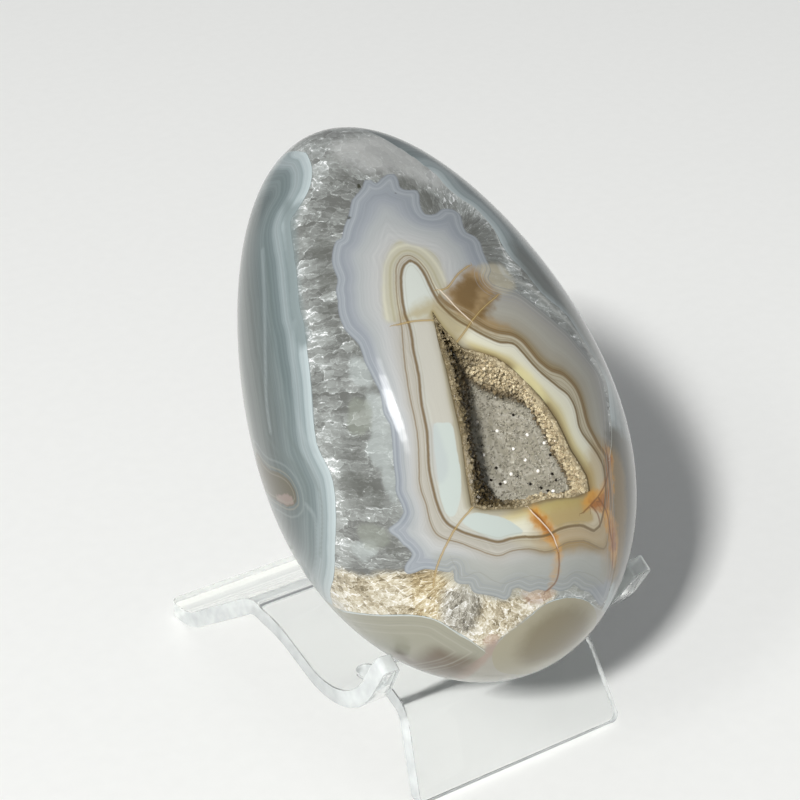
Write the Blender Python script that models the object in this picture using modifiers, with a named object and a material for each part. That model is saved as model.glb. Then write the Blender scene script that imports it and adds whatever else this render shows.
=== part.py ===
"""A polished agate egg with an open crystal cavity, leaning on a one-piece clear acrylic stand."""

import random
from math import cos, exp, hypot, pi, radians, sin, sqrt

import bmesh
import bpy
from mathutils import Euler, Vector

MM = 0.001
MERGE = 0.01 * MM

# Egg
EGG_LENGTH = 94.2 * MM
EGG_RADIUS = 28.4 * MM
EGG_TAPER = 0.1735
EGG_TIP_FULLNESS = 0.047
EGG_CENTRE = Vector((0.32, -1.21, 56.33)) * MM
EGG_LEAN_BACK = radians(47.05)
EGG_LEAN_SIDE = radians(3.57)
EGG_ROWS = 30
EGG_STEPS = 52

# Underside of the egg, a little fuller where it beds on the stand
BED_SWELL = 3.0 * MM
BED_HEIGHT = -12 * MM
BED_REACH = 16 * MM
BED_AZIMUTH = radians(172)
POLE_RADIUS = EGG_RADIUS / 4

# Cavity mouth on the polished face: azimuth in degrees (0 faces front), height along the axis in mm
MOUTH_LEFT = ((-19.7, 5.4), (-21.8, 1.1), (-23.0, -3.4), (-24.9, -8.7), (-26.8, -14.2), (-29.9, -19.8),
              (-31.8, -23.7))
MOUTH_FLOOR = ((-31.8, -23.7), (-29.0, -24.8), (-18.7, -26.3), (-7.7, -26.5), (4.2, -27.4), (11.4, -27.1))
MOUTH_RIGHT = ((11.4, -27.1), (11.1, -25.0), (6.5, -20.8), (4.6, -16.4), (1.7, -12.2), (-4.0, -6.8),
               (-7.7, -4.5), (-16.1, -1.6), (-18.7, 2.1), (-19.7, 5.4))

# Back wall of the cavity: across and along, in mm, in the plane square to the face at its middle
CAVITY_AZIMUTH = radians(-9.4)
CAVITY_HEIGHT = -13 * MM
BACK_LEFT = ((-0.6, 5.8), (-2.3, 2.9), (-3.9, -0.7), (-4.7, -4.5), (-4.5, -8.1), (-3.0, -11.0))
BACK_FLOOR = ((-3.0, -11.0), (0.4, -12.4), (3.6, -13.0), (8.4, -13.3))
BACK_RIGHT = ((8.4, -13.3), (8.9, -11.0), (8.4, -7.6), (8.0, -4.3), (8.0, 0.0), (5.9, 1.7), (3.1, 3.4),
              (-0.6, 5.8))
CHORD = 0.1 * MM
OUTLINE_COUNTS = (12, 9, 12)
END_PAIRS = 2
SPINE_LIMIT = 0.55
CRYSTAL_DEPTH = 9.3 * MM
CRUST_THICKNESS = 1.7 * MM
MOUTH_CRUST = 0.8 * MM
BACK_CRUST = 1.3 * MM
FIT_GAP = 0.35 * MM
BREAKTHROUGH = 0.35
SHARPEST = 1.5
CRYSTAL_LEVELS = 7
CRYSTAL_HEIGHT = 0.9 * MM
CRYSTAL_SEED = 12
FLOOR_SHARES = (0.76, 0.52, 0.28)

# Acrylic sheet of the stand
SHEET = 3.0 * MM
STAND_WIDTH = 52.3 * MM
STAND_X = 1.41 * MM
STAND_REAR_Y = 41.87 * MM
EDGE_ROUND = 0.25 * MM
ROW_ANGLE = radians(7)
SHARP_ANGLE = radians(30)

# Side view of the sheet from the rear foot forward: straight lengths, bend angles and bend radii
REAR_FLAT = 2.1 * MM
REAR_BEND = (radians(35.8), 13 * MM)
RAMP = 22.2 * MM
CREST_BEND = (radians(-37.4), 5.8 * MM)
DECK = 5.1 * MM
DROOP_BEND = (radians(-13.2), 19.8 * MM)
VALLEY = 6.6 * MM
DIP_BEND = (radians(17.3), 15.7 * MM)
HOOK_BEND = (radians(57.8), 15.7 * MM)
HOOK_TIP = 7.2 * MM
SHELF_BEND = (radians(-9), 20 * MM)
SHELF = 5.8 * MM
FOLD_BEND = (radians(-57), 4.0 * MM)

# Slits that free the middle tongue from the two hooks
SLIT_ROOT_X = 18.7 * MM
SLIT_WIDTH = 3.2 * MM
SLIT_SLANT = 0.119
ROOT_ROUND = 0.98
TIP_SLANT = 0.76 * MM
CORNER = 1.5 * MM
TIP_CORNER = 0.9 * MM
ARC_POINTS = 4


def clear_scene():
    for item in list(bpy.data.objects):
        bpy.data.objects.remove(item)


def new_collection(name):
    collection = bpy.data.collections.new(name)
    bpy.context.scene.collection.children.link(collection)
    return collection


def plain_material(name, colour, roughness, transmission=0.0, ior=1.5):
    material = bpy.data.materials.new(name)
    material.use_nodes = True
    shader = material.node_tree.nodes["Principled BSDF"]
    shader.inputs["Base Color"].default_value = (*colour, 1.0)
    shader.inputs["Roughness"].default_value = roughness
    shader.inputs["Metallic"].default_value = 0.0
    shader.inputs["Transmission Weight"].default_value = transmission
    shader.inputs["IOR"].default_value = ior
    return material


def new_object(name, mesh, collection, parent=None, material=None):
    item = bpy.data.objects.new(name, mesh)
    collection.objects.link(item)
    item.parent = parent
    if material:
        mesh.materials.append(material)
    return item


def hide_cutter(item):
    item.hide_render = True
    item.display_type = "WIRE"
    return item


def add_boolean(item, cutter, operation):
    boolean = item.modifiers.new(operation.lower(), "BOOLEAN")
    boolean.operation = operation
    boolean.solver = "EXACT"
    boolean.object = cutter
    boolean.use_self = True


def mesh_of(item):
    """The evaluated shape of an object as a plain mesh, after which the object is removed."""
    graph = bpy.context.evaluated_depsgraph_get()
    mesh = bpy.data.meshes.new_from_object(item.evaluated_get(graph))
    bpy.data.objects.remove(item)
    return mesh


# Egg body

def egg_radius(height):
    """Radius of the egg at a height along its axis, measured from its middle."""
    level = max(-1.0, min(1.0, height / (EGG_LENGTH / 2)))
    shape = 1 - EGG_TAPER * level + EGG_TIP_FULLNESS * level ** 3
    return EGG_RADIUS * sqrt(1 - level * level) * shape


def bed_swell(azimuth, height):
    turn = max(0.0, cos(azimuth - BED_AZIMUTH)) ** 3
    return BED_SWELL * turn * exp(-((height - BED_HEIGHT) / BED_REACH) ** 2)


def egg_mesh(inset, collection):
    """A profile turned about Z, top to bottom, with the underside swollen over the stand."""
    profile = bmesh.new()
    points = []
    for row in range(EGG_ROWS + 1):
        angle = pi * row / EGG_ROWS
        height = (EGG_LENGTH / 2) * cos(angle)
        radius = 0.0 if row in (0, EGG_ROWS) else egg_radius(height) - inset
        level = height - inset * cos(angle)
        points.append(profile.verts.new((radius, 0, level)))
    for upper, lower in zip(points, points[1:]):
        profile.edges.new((upper, lower))
    mesh = bpy.data.meshes.new("egg_profile")
    profile.to_mesh(mesh)
    profile.free()
    turned = new_object("egg_profile", mesh, collection)
    screw = turned.modifiers.new("turn", "SCREW")
    screw.steps = EGG_STEPS
    screw.render_steps = EGG_STEPS
    screw.use_merge_vertices = True
    screw.merge_threshold = MERGE
    egg = mesh_of(turned)
    for vertex in egg.vertices:
        x, y, z = vertex.co
        reach = hypot(x, y)
        if reach > POLE_RADIUS:
            front = Vector((x, -y)).normalized()
            azimuth = Vector((0, 1)).angle_signed(front)
            grow = 1 + bed_swell(azimuth, z) / reach
            vertex.co = (x * grow, y * grow, z)
    egg.shade_smooth()
    return egg


# Cavity and its crystals

def face_point(azimuth, height):
    radius = egg_radius(height)
    return Vector((radius * sin(azimuth), -radius * cos(azimuth), height))


def cavity_frame():
    """Middle of the mouth, the direction out of the face, and the two directions along it."""
    step = CHORD
    middle = face_point(CAVITY_AZIMUTH, CAVITY_HEIGHT)
    across = Vector((cos(CAVITY_AZIMUTH), sin(CAVITY_AZIMUTH), 0))
    upper = face_point(CAVITY_AZIMUTH, CAVITY_HEIGHT + step)
    along = (upper - middle).normalized()
    return middle, across.cross(along), across, along


def spaced(points, count):
    """Points at even steps along a polyline, its last point left for the next stretch."""
    lengths = [(b - a).length for a, b in zip(points, points[1:])]
    total = sum(lengths)
    result = []
    for index in range(count):
        left = total * index / count
        for start, end, length in zip(points, points[1:], lengths):
            if left <= length:
                result.append(start.lerp(end, left / length))
                break
            left -= length
    return result


def closed_outline(stretches):
    outline = []
    for points, count in zip(stretches, OUTLINE_COUNTS):
        outline.extend(spaced(points, count))
    return outline


def toward_spine(ring, distances):
    """Each point moved towards the middle line between the two sides, or away by less than nothing."""
    count = len(ring)
    side = OUTLINE_COUNTS[0]
    result = []
    for index, (point, distance) in enumerate(zip(ring, distances)):
        pair = max(END_PAIRS, min(index, count - index, side - END_PAIRS))
        inward = ring[pair].lerp(ring[count - pair], 0.5) - point
        step = min(distance, inward.length * SPINE_LIMIT)
        result.append(point + inward.normalized() * step)
    return result


def cavity_outlines(mouth_inset, back_inset, depth):
    middle, out, across, along = cavity_frame()
    mouth = closed_outline([[face_point(radians(a), h * MM) for a, h in part]
                            for part in (MOUTH_LEFT, MOUTH_FLOOR, MOUTH_RIGHT)])
    floor = middle - out * depth
    back = closed_outline([[floor + across * (x * MM) + along * (y * MM) for x, y in part]
                           for part in (BACK_LEFT, BACK_FLOOR, BACK_RIGHT)])
    return toward_spine(mouth, [mouth_inset] * len(mouth)), toward_spine(back, [back_inset] * len(back))


def loft(name, rings, last_point, collection, parent):
    """A closed skin over rings of points, the first end closed by its middle, the last by a point."""
    skin = bmesh.new()
    rows = [[skin.verts.new(point) for point in ring] for ring in rings]
    count = len(rows[0])
    first = skin.verts.new(sum(rings[0], Vector()) / count)
    last = skin.verts.new(last_point)
    for index in range(count):
        after = (index + 1) % count
        skin.faces.new((first, rows[0][after], rows[0][index]))
        skin.faces.new((last, rows[-1][index], rows[-1][after]))
        for upper, lower in zip(rows, rows[1:]):
            skin.faces.new((upper[index], upper[after], lower[after]))
            skin.faces.new((upper[index], lower[after], lower[index]))
    bmesh.ops.recalc_face_normals(skin, faces=skin.faces)
    mesh = bpy.data.meshes.new(name)
    skin.to_mesh(mesh)
    skin.free()
    return new_object(name, mesh, collection, parent)


def ring_between(mouth, back, share):
    return [top.lerp(low, share) for top, low in zip(mouth, back)]


def plain_cavity(name, collection, parent):
    """The smooth-walled hollow in the agate, which reaches out past the polished face."""
    mouth, back = cavity_outlines(0.0, -BACK_CRUST, CRYSTAL_DEPTH + CRUST_THICKNESS)
    outside = [top + (top - low) * BREAKTHROUGH for top, low in zip(mouth, back)]
    middle = sum(back, Vector()) / len(back)
    return loft(name, [outside, mouth, back], middle, collection, parent)


def shrink(item, gap):
    """Every face moved inwards by the same gap."""
    skin = bmesh.new()
    skin.from_mesh(item.data)
    moves = [vertex.normal * gap * min(vertex.calc_shell_factor(), SHARPEST) for vertex in skin.verts]
    for vertex, move in zip(skin.verts, moves):
        vertex.co -= move
    skin.to_mesh(item.data)
    skin.free()


def crystal_hollow(collection, parent):
    """The open space inside the crust, its walls stepped and pointed by flat crystal faces."""
    picks = random.Random(CRYSTAL_SEED)
    out = cavity_frame()[1]
    mouth, back = cavity_outlines(MOUTH_CRUST, 0.0, CRYSTAL_DEPTH)
    middle = sum(back, Vector()) / len(back)
    rings = [[top + (top - low) * BREAKTHROUGH for top, low in zip(mouth, back)]]
    for level in range(CRYSTAL_LEVELS):
        ring = ring_between(mouth, back, level / (CRYSTAL_LEVELS - 1))
        rings.append(toward_spine(ring, [picks.random() * CRYSTAL_HEIGHT for point in ring]))
    for share in FLOOR_SHARES:
        ring = [middle.lerp(point, share) for point in back]
        rings.append([point + out * picks.random() * CRYSTAL_HEIGHT for point in ring])
    return loft("crystal_hollow", rings, middle, collection, parent)


# Stand

def bend(turn_and_radius):
    turn, radius = turn_and_radius
    return (abs(turn) * radius, turn)


def along_path(path, distance):
    """Place and heading on the bent middle line after a distance along the flat blank."""
    y, z, heading = STAND_REAR_Y, SHEET / 2, 0.0
    for length, turn in path:
        part = min(distance, length)
        after = heading + turn * part / length
        if turn:
            radius = length / turn
            y -= radius * (sin(after) - sin(heading))
            z += radius * (cos(heading) - cos(after))
        else:
            y -= part * cos(heading)
            z += part * sin(heading)
        heading = after
        distance -= part
        if distance <= 0:
            break
    return y, z, heading


def path_length(path):
    return sum(length for length, turn in path)


def stand_paths():
    """The side view to the slit roots, then on to the hook tips and down the tongue to the floor."""
    shared = [(REAR_FLAT, 0), bend(REAR_BEND), (RAMP, 0), bend(CREST_BEND), (DECK, 0),
              bend(DROOP_BEND), (VALLEY, 0), bend(DIP_BEND)]
    hook = shared + [bend(HOOK_BEND), (HOOK_TIP, 0)]
    tongue = shared + [bend(SHELF_BEND), (SHELF, 0), bend(FOLD_BEND)]
    fold_z, heading = along_path(tongue, path_length(tongue))[1:]
    foot_z = (SHEET / 2 - EDGE_ROUND) * cos(heading)
    tongue.append(((fold_z - foot_z) / sin(-heading), 0))
    return path_length(shared), hook, tongue


def rounded_outline(corners):
    """Corners of (x, y, radius) as a closed outline, with each corner turned into an arc."""
    outline = []
    count = len(corners)
    for index, (x, y, radius) in enumerate(corners):
        corner = Vector((x, y))
        before = (Vector(corners[index - 1][:2]) - corner).normalized()
        after = (Vector(corners[(index + 1) % count][:2]) - corner).normalized()
        half = before.angle(after) / 2
        centre = corner + (before + after).normalized() * radius / sin(half)
        start = corner + before * radius * cos(half) / sin(half) - centre
        end = corner + after * radius * cos(half) / sin(half) - centre
        turn = start.angle_signed(end)
        for step in range(ARC_POINTS + 1):
            angle = -turn * step / ARC_POINTS
            x_turned = start.x * cos(angle) - start.y * sin(angle)
            y_turned = start.x * sin(angle) + start.y * cos(angle)
            outline.append(centre + Vector((x_turned, y_turned)))
    return outline


def blank_corners(root, hook_length, tongue_length):
    """The flat laser-cut blank: x across the stand, y along the sheet from the rear foot."""
    edge = STAND_WIDTH / 2
    outer = SLIT_ROOT_X + SLIT_WIDTH / 2
    inner = SLIT_ROOT_X - SLIT_WIDTH / 2
    tip = hook_length - TIP_SLANT
    foot = tongue_length
    kerf = SLIT_WIDTH / 2 * ROOT_ROUND
    right = [(edge, 0, CORNER), (edge, hook_length, TIP_CORNER),
             (outer + (tip - root) * SLIT_SLANT, tip, TIP_CORNER), (outer, root, kerf),
             (inner, root, kerf), (inner + (foot - root) * SLIT_SLANT, foot, CORNER)]
    left = [(-x, y, radius) for x, y, radius in reversed(right)]
    return right + left


def cut_rows(path):
    """Distances along a path at which the sheet changes heading, with bends in small steps."""
    rows = []
    done = 0.0
    for length, turn in path:
        parts = max(1, round(abs(turn) / ROW_ANGLE))
        rows.extend(done + length * part / parts for part in range(parts))
        done += length
    return rows[1:]


def bent_sheet(collection, material):
    root, hook, tongue = stand_paths()
    outline = rounded_outline(blank_corners(root, path_length(hook), path_length(tongue)))
    curve = bpy.data.curves.new("blank", "CURVE")
    curve.dimensions = "2D"
    curve.fill_mode = "BOTH"
    curve.extrude = SHEET / 2 - EDGE_ROUND
    curve.bevel_depth = EDGE_ROUND
    curve.bevel_resolution = 1
    curve.offset = -EDGE_ROUND
    spline = curve.splines.new("POLY")
    spline.points.add(len(outline) - 1)
    for point, place in zip(spline.points, outline):
        point.co = (place.x, place.y, 0, 1)
    spline.use_cyclic_u = True
    blank = mesh_of(new_object("blank", curve, collection))

    sheet = bmesh.new()
    sheet.from_mesh(blank)
    bmesh.ops.remove_doubles(sheet, verts=sheet.verts, dist=MERGE)
    for row in sorted(set(cut_rows(hook) + cut_rows(tongue))):
        everything = sheet.verts[:] + sheet.edges[:] + sheet.faces[:]
        bmesh.ops.bisect_plane(sheet, geom=everything, plane_co=(0, row, 0), plane_no=(0, 1, 0),
                               dist=MERGE / 10)
    for vertex in sheet.verts:
        across, along, off = vertex.co
        in_hook = along > root and abs(across) > SLIT_ROOT_X + (along - root) * SLIT_SLANT
        y, z, heading = along_path(hook if in_hook else tongue, along)
        vertex.co = (across, y + off * sin(heading), z + off * cos(heading))
    bmesh.ops.recalc_face_normals(sheet, faces=sheet.faces)
    mesh = bpy.data.meshes.new("stand")
    sheet.to_mesh(mesh)
    sheet.free()

    stand = new_object("stand", mesh, collection, material=material)
    stand.location.x = STAND_X
    mesh.shade_smooth()
    mesh.set_sharp_from_angle(angle=SHARP_ANGLE)


def build():
    clear_scene()
    parts = new_collection("agate_egg")
    cutters = new_collection("cutters")
    agate = plain_material("polished_agate", (0.50, 0.53, 0.53), 0.12)
    druse = plain_material("druzy_quartz", (0.55, 0.50, 0.44), 0.25)
    acrylic = plain_material("clear_acrylic", (0.95, 0.97, 0.97), 0.03, transmission=1.0, ior=1.49)

    pose = bpy.data.objects.new("egg_pose", None)
    parts.objects.link(pose)
    pose.location = EGG_CENTRE
    pose.rotation_euler = Euler((-EGG_LEAN_BACK, EGG_LEAN_SIDE, 0))

    egg = new_object("egg", egg_mesh(0.0, parts), parts, pose, agate)
    cavity = hide_cutter(plain_cavity("cavity", cutters, pose))
    add_boolean(egg, cavity, "DIFFERENCE")

    crust = plain_cavity("cavity_crystals", parts, pose)
    shrink(crust, FIT_GAP)
    crust.data.materials.append(druse)
    limit = hide_cutter(new_object("polished_limit", egg_mesh(FIT_GAP, cutters), cutters, pose))
    hollow = hide_cutter(crystal_hollow(cutters, pose))
    add_boolean(crust, limit, "INTERSECT")
    add_boolean(crust, hollow, "DIFFERENCE")

    bent_sheet(parts, acrylic)


build()
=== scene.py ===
# %% [markdown]
# # A polished agate egg on a clear acrylic stand
# The real object is a nodule of banded agate, ground to an egg and polished until it shines like glass.
# An open pocket lined with small quartz crystals breaks through its face. It leans on one bent sheet of
# clear acrylic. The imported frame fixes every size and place, and this file only dresses it.

# %% Load the frame
from math import cos, pi, radians, sin

import bmesh
import bpy
import numpy as np
from mathutils import Euler, Matrix, Vector, noise
from mathutils.bvhtree import BVHTree


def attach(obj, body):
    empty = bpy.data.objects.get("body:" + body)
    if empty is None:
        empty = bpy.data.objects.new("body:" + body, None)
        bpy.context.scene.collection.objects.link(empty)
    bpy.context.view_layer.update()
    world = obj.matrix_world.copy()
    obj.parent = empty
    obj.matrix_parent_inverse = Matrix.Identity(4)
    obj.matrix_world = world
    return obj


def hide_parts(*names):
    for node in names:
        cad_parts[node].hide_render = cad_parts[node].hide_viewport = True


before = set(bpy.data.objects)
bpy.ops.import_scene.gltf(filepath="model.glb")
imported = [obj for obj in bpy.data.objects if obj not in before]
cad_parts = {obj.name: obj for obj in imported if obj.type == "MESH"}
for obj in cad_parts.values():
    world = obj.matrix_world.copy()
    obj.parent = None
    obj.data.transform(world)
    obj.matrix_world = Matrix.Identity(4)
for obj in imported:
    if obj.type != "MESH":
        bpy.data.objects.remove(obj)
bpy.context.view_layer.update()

MM = 0.001
TINY = 1e-6
print("nodes in the frame:", sorted(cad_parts))

# %% [markdown]
# ## One camera for every measurement
# The picture was taken from the left and above with a long lens. The camera's place was worked out from the
# sheet's corners, which are 3 mm acrylic. The same numbers are used to place each vein of the stone: a
# point of the 800 by 800 picture becomes a ray, and the ray meets the egg.

# %% Camera
FRAME_PIXELS = 800
SENSOR = 36.0
FOCAL_PIXELS = 2237.43
CAMERA_PLACE = Vector((-176.35, -257.89, 228.64)) * MM
CAMERA_DIP = 29.023
CAMERA_BEARING = -33.874
CAMERA_TURN = Euler((radians(90 - CAMERA_DIP), 0, radians(CAMERA_BEARING)))


def into_scene(name, data):
    """A new object of the scene that holds a mesh, a lamp, a curve or a camera."""
    item = bpy.data.objects.new(name, data)
    bpy.context.scene.collection.objects.link(item)
    return item


camera = into_scene("camera", bpy.data.cameras.new("camera"))
camera.data.sensor_width = SENSOR
camera.data.lens = FOCAL_PIXELS / FRAME_PIXELS * SENSOR
camera.location = CAMERA_PLACE
camera.rotation_euler = CAMERA_TURN
bpy.context.scene.camera = camera
print("camera lens", round(camera.data.lens, 1), "mm")

# %% [markdown]
# ## The egg's own frame
# It is easier to describe a stone along its own axis. In the egg's frame z runs from the blunt end to the
# thin end, -y is the front and x is across. One matrix takes that frame into the world. Its hidden underside
# is a little fuller than the round, a shallow swell that beds on the stand.

# %% Egg frame
EGG_LENGTH = 94.2
EGG_RADIUS = 28.4
EGG_TAPER = 0.1735
EGG_TIP_FULLNESS = 0.047
EGG_CENTRE = Vector((0.32, -1.21, 56.33)) * MM
EGG_LEAN = Euler((radians(-47.05), radians(3.57), 0))
EGG_TO_WORLD = Matrix.Translation(EGG_CENTRE) @ EGG_LEAN.to_matrix().to_4x4() @ Matrix.Scale(MM, 4)
WORLD_TO_EGG = EGG_TO_WORLD.inverted()
BED_SWELL = 3.0
BED_HEIGHT = -12.0
BED_REACH = 16.0
BED_AZIMUTH = radians(172)


def egg_radius(height):
    """Radius of the egg in mm at a height along its axis, for one height or an array."""
    level = np.clip(height / (EGG_LENGTH / 2), -1, 1)
    return EGG_RADIUS * np.sqrt(1 - level ** 2) * (1 - EGG_TAPER * level + EGG_TIP_FULLNESS * level ** 3)


def bed_swell(azimuth, height):
    """How far the underside stands proud of the round where it beds on the stand."""
    turn = np.maximum(0, np.cos(azimuth - BED_AZIMUTH)) ** 3
    return BED_SWELL * turn * np.exp(-((height - BED_HEIGHT) / BED_REACH) ** 2)


def face_point(azimuth, height):
    """The place on the polished face at an azimuth in radians and a height in mm."""
    radius = float(egg_radius(height))
    return Vector((radius * sin(azimuth), -radius * cos(azimuth), height))


print("egg radius at its middle", round(float(egg_radius(0.0)), 2), "mm")

# %% [markdown]
# ## Drawing on a curved stone
# Veins are easiest to read from the picture, so each is a short list of picture points. A smooth curve is
# laid through them and every point is sent along its ray until it meets the polished face. What is kept is
# the curve on the stone in millimetres, never a colour.

# %% From picture points to the face
CURVE_STEP = 4.0
RAY_REACH = 60.0
RAY_STEPS = 161
EYE = np.array(WORLD_TO_EGG @ CAMERA_PLACE)


def smooth_curve(points, closed):
    """A Catmull-Rom curve through points, sampled about every CURVE_STEP pixels."""
    points = np.array(points, float)
    if closed:
        knots = np.vstack([points[-1:], points, points[:2]])
    else:
        knots = np.vstack([2 * points[:1] - points[1:2], points, 2 * points[-1:] - points[-2:-1]])
    curve = []
    for before, start, end, after in zip(knots, knots[1:], knots[2:], knots[3:]):
        count = max(1, int(np.linalg.norm(end - start) / CURVE_STEP))
        t = np.arange(count)[:, None] / count
        curve.append(0.5 * (2 * start + (end - before) * t
                            + (2 * before - 5 * start + 4 * end - after) * t ** 2
                            + (3 * start - before - 3 * end + after) * t ** 3))
    if not closed:
        curve.append(points[-1:])
    return np.vstack(curve)


def picture_rays(pixels):
    """Unit directions in the egg's frame of the rays through picture points."""
    offset = (np.asarray(pixels, float) - FRAME_PIXELS / 2) / FOCAL_PIXELS
    local = np.column_stack([offset[:, 0], -offset[:, 1], -np.ones(len(offset))])
    turn = np.array(WORLD_TO_EGG.to_3x3().normalized() @ CAMERA_TURN.to_matrix())
    rays = local @ turn.T
    return rays / np.linalg.norm(rays, axis=1)[:, None]


def on_face(points, closed=False):
    """A smooth curve on the polished face; a ray that just misses is kept at its nearest approach."""
    rays = picture_rays(smooth_curve(points, closed))
    middle = -(rays @ EYE)
    steps = middle[:, None] + np.linspace(-RAY_REACH, RAY_REACH, RAY_STEPS)[None]
    places = EYE + rays[:, None] * steps[..., None]
    outside = np.hypot(places[..., 0], places[..., 1]) - egg_radius(places[..., 2])
    outside += np.maximum(0, abs(places[..., 2]) - EGG_LENGTH / 2)
    hits = outside < 0
    found = np.where(hits.any(1), hits.argmax(1), outside.argmin(1))
    found = np.clip(found, 1, RAY_STEPS - 1)
    index = np.arange(len(rays))
    near, far = outside[index, found - 1], outside[index, found]
    share = np.where(hits.any(1), near / np.where(near == far, 1, near - far), 1.0)
    depth = steps[index, found - 1] + (steps[index, found] - steps[index, found - 1]) * share
    return EYE + rays * depth[:, None]


print("eye in the egg's frame", EYE.round(1), "mm")

# %% [markdown]
# ## The polished body
# A lathe profile turned about the axis would space its points evenly. Here the rings are written with numpy
# so that they can be closer together at the front, where the veins are fine: about 0.4 mm, against 0.8 mm
# at the back. The same loft closes the skins of the pocket later.

# %% Body mesh
BODY_ROWS = 250
BODY_STEPS = 310
FRONT_AZIMUTH = radians(-30)
FRONT_CROWDING = 0.35
POLISH_DEPTH = 0.04


def mesh_object(name, points, faces, smooth=True):
    mesh = bpy.data.meshes.new(name)
    mesh.from_pydata(np.asarray(points).tolist(), [], faces)
    mesh.validate()
    if smooth:
        mesh.shade_smooth()
    return into_scene(name, mesh)


def loft(name, rings, first_point, last_point):
    """A closed skin over rings of points, its two ends closed to a point."""
    count = len(rings[0])
    base = (len(rings) - 1) * count
    first = base + count
    faces = []
    for start in range(0, base, count):
        for index in range(count):
            after = start + (index + 1) % count
            faces.append((start + index, after, after + count, start + index + count))
    for index in range(count):
        after = (index + 1) % count
        faces.append((first, after, index))
        faces.append((first + 1, base + index, base + after))
    item = mesh_object(name, np.vstack([*rings, first_point, last_point]), faces)
    skin = bmesh.new()
    skin.from_mesh(item.data)
    bmesh.ops.recalc_face_normals(skin, faces=skin.faces)
    skin.to_mesh(item.data)
    skin.free()
    return item


def body_mesh():
    turn = 2 * pi * np.arange(BODY_STEPS) / BODY_STEPS - pi
    azimuth = (FRONT_AZIMUTH + turn - FRONT_CROWDING * np.sin(turn))[None]
    height = EGG_LENGTH / 2 * np.cos(pi * np.arange(1, BODY_ROWS) / BODY_ROWS)[:, None]
    radius = egg_radius(height) + bed_swell(azimuth, height) - POLISH_DEPTH
    height = height * (1 - 2 * POLISH_DEPTH / EGG_LENGTH)
    rings = np.stack([radius * np.sin(azimuth), -radius * np.cos(azimuth), height + 0 * radius], -1)
    tip = EGG_LENGTH / 2 - POLISH_DEPTH
    return loft("agate_body", rings, [0, 0, tip], [0, 0, -tip])


body = body_mesh()
print("body", len(body.data.polygons), "faces")

# %% [markdown]
# ## The pocket
# The pocket is a loft from its mouth on the face to a smaller back wall 9 mm inside. The mouth is given by
# azimuth and height on the egg, the back wall by millimetres across and along. The same outlines shape the
# hole in the agate and the crust of crystals that lines it.

# %% Pocket outlines
MOUTH_LEFT = ((-19.7, 5.4), (-21.8, 1.1), (-23.0, -3.4), (-24.9, -8.7), (-26.8, -14.2), (-29.9, -19.8),
              (-31.8, -23.7))
MOUTH_FLOOR = ((-31.8, -23.7), (-29.0, -24.8), (-18.7, -26.3), (-7.7, -26.5), (4.2, -27.4), (11.4, -27.1))
MOUTH_RIGHT = ((11.4, -27.1), (11.1, -25.0), (6.5, -20.8), (4.6, -16.4), (1.7, -12.2), (-4.0, -6.8),
               (-7.7, -4.5), (-16.1, -1.6), (-18.7, 2.1), (-19.7, 5.4))
BACK_LEFT = ((-0.6, 5.8), (-2.3, 2.9), (-3.9, -0.7), (-4.7, -4.5), (-4.5, -8.1), (-3.0, -11.0))
BACK_FLOOR = ((-3.0, -11.0), (0.4, -12.4), (3.6, -13.0), (8.4, -13.3))
BACK_RIGHT = ((8.4, -13.3), (8.9, -11.0), (8.4, -7.6), (8.0, -4.3), (8.0, 0.0), (5.9, 1.7), (3.1, 3.4),
              (-0.6, 5.8))
OUTLINE_COUNTS = (60, 40, 60)
POCKET_AZIMUTH = radians(-9.4)
POCKET_HEIGHT = -13.0
POCKET_DEPTH = 9.3
POCKET_WALL_ROWS = 14
BACK_CRUST = 1.3
CRUST_UNDER = 1.7
BREAKTHROUGH = 0.35
SPINE_LIMIT = 0.55
SPINE_ENDS = 2


def pocket_frame():
    """Middle of the mouth, the way out of the face, and the two directions along it."""
    middle = face_point(POCKET_AZIMUTH, POCKET_HEIGHT)
    across = Vector((cos(POCKET_AZIMUTH), sin(POCKET_AZIMUTH), 0))
    along = (face_point(POCKET_AZIMUTH, POCKET_HEIGHT + 0.1) - middle).normalized()
    return middle, across.cross(along), across, along


def spaced(points, count):
    """Even steps along a polyline, its last point left for the next stretch."""
    points = np.array(points)
    lengths = np.linalg.norm(np.diff(points, axis=0), axis=1)
    reached = np.concatenate([[0], np.cumsum(lengths)])
    wanted = reached[-1] * np.arange(count) / count
    return np.column_stack([np.interp(wanted, reached, points[:, axis]) for axis in range(3)])


def toward_spine(ring, distance):
    """A ring drawn in by a distance towards the line midway between its two sides."""
    count, side = len(ring), OUTLINE_COUNTS[0]
    index = np.arange(count)
    pair = np.clip(np.minimum(index, count - index), SPINE_ENDS, side - SPINE_ENDS)
    inward = (ring[pair] + ring[(count - pair) % count]) / 2 - ring
    room = np.linalg.norm(inward, axis=1)[:, None]
    return ring + inward / np.maximum(room, TINY) * np.minimum(distance, room * SPINE_LIMIT)


def pocket_rings(depth):
    """The mouth and the back wall as rings of points, the back wall at a depth inside."""
    middle, out, across, along = pocket_frame()
    floor = middle - out * depth
    mouth = [[face_point(radians(a), h) for a, h in part] for part in (MOUTH_LEFT, MOUTH_FLOOR, MOUTH_RIGHT)]
    back = [[floor + across * x + along * y for x, y in part]
            for part in (BACK_LEFT, BACK_FLOOR, BACK_RIGHT)]
    return [np.vstack([spaced(points, count) for points, count in zip(stretches, OUTLINE_COUNTS)])
            for stretches in (mouth, back)]


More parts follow.
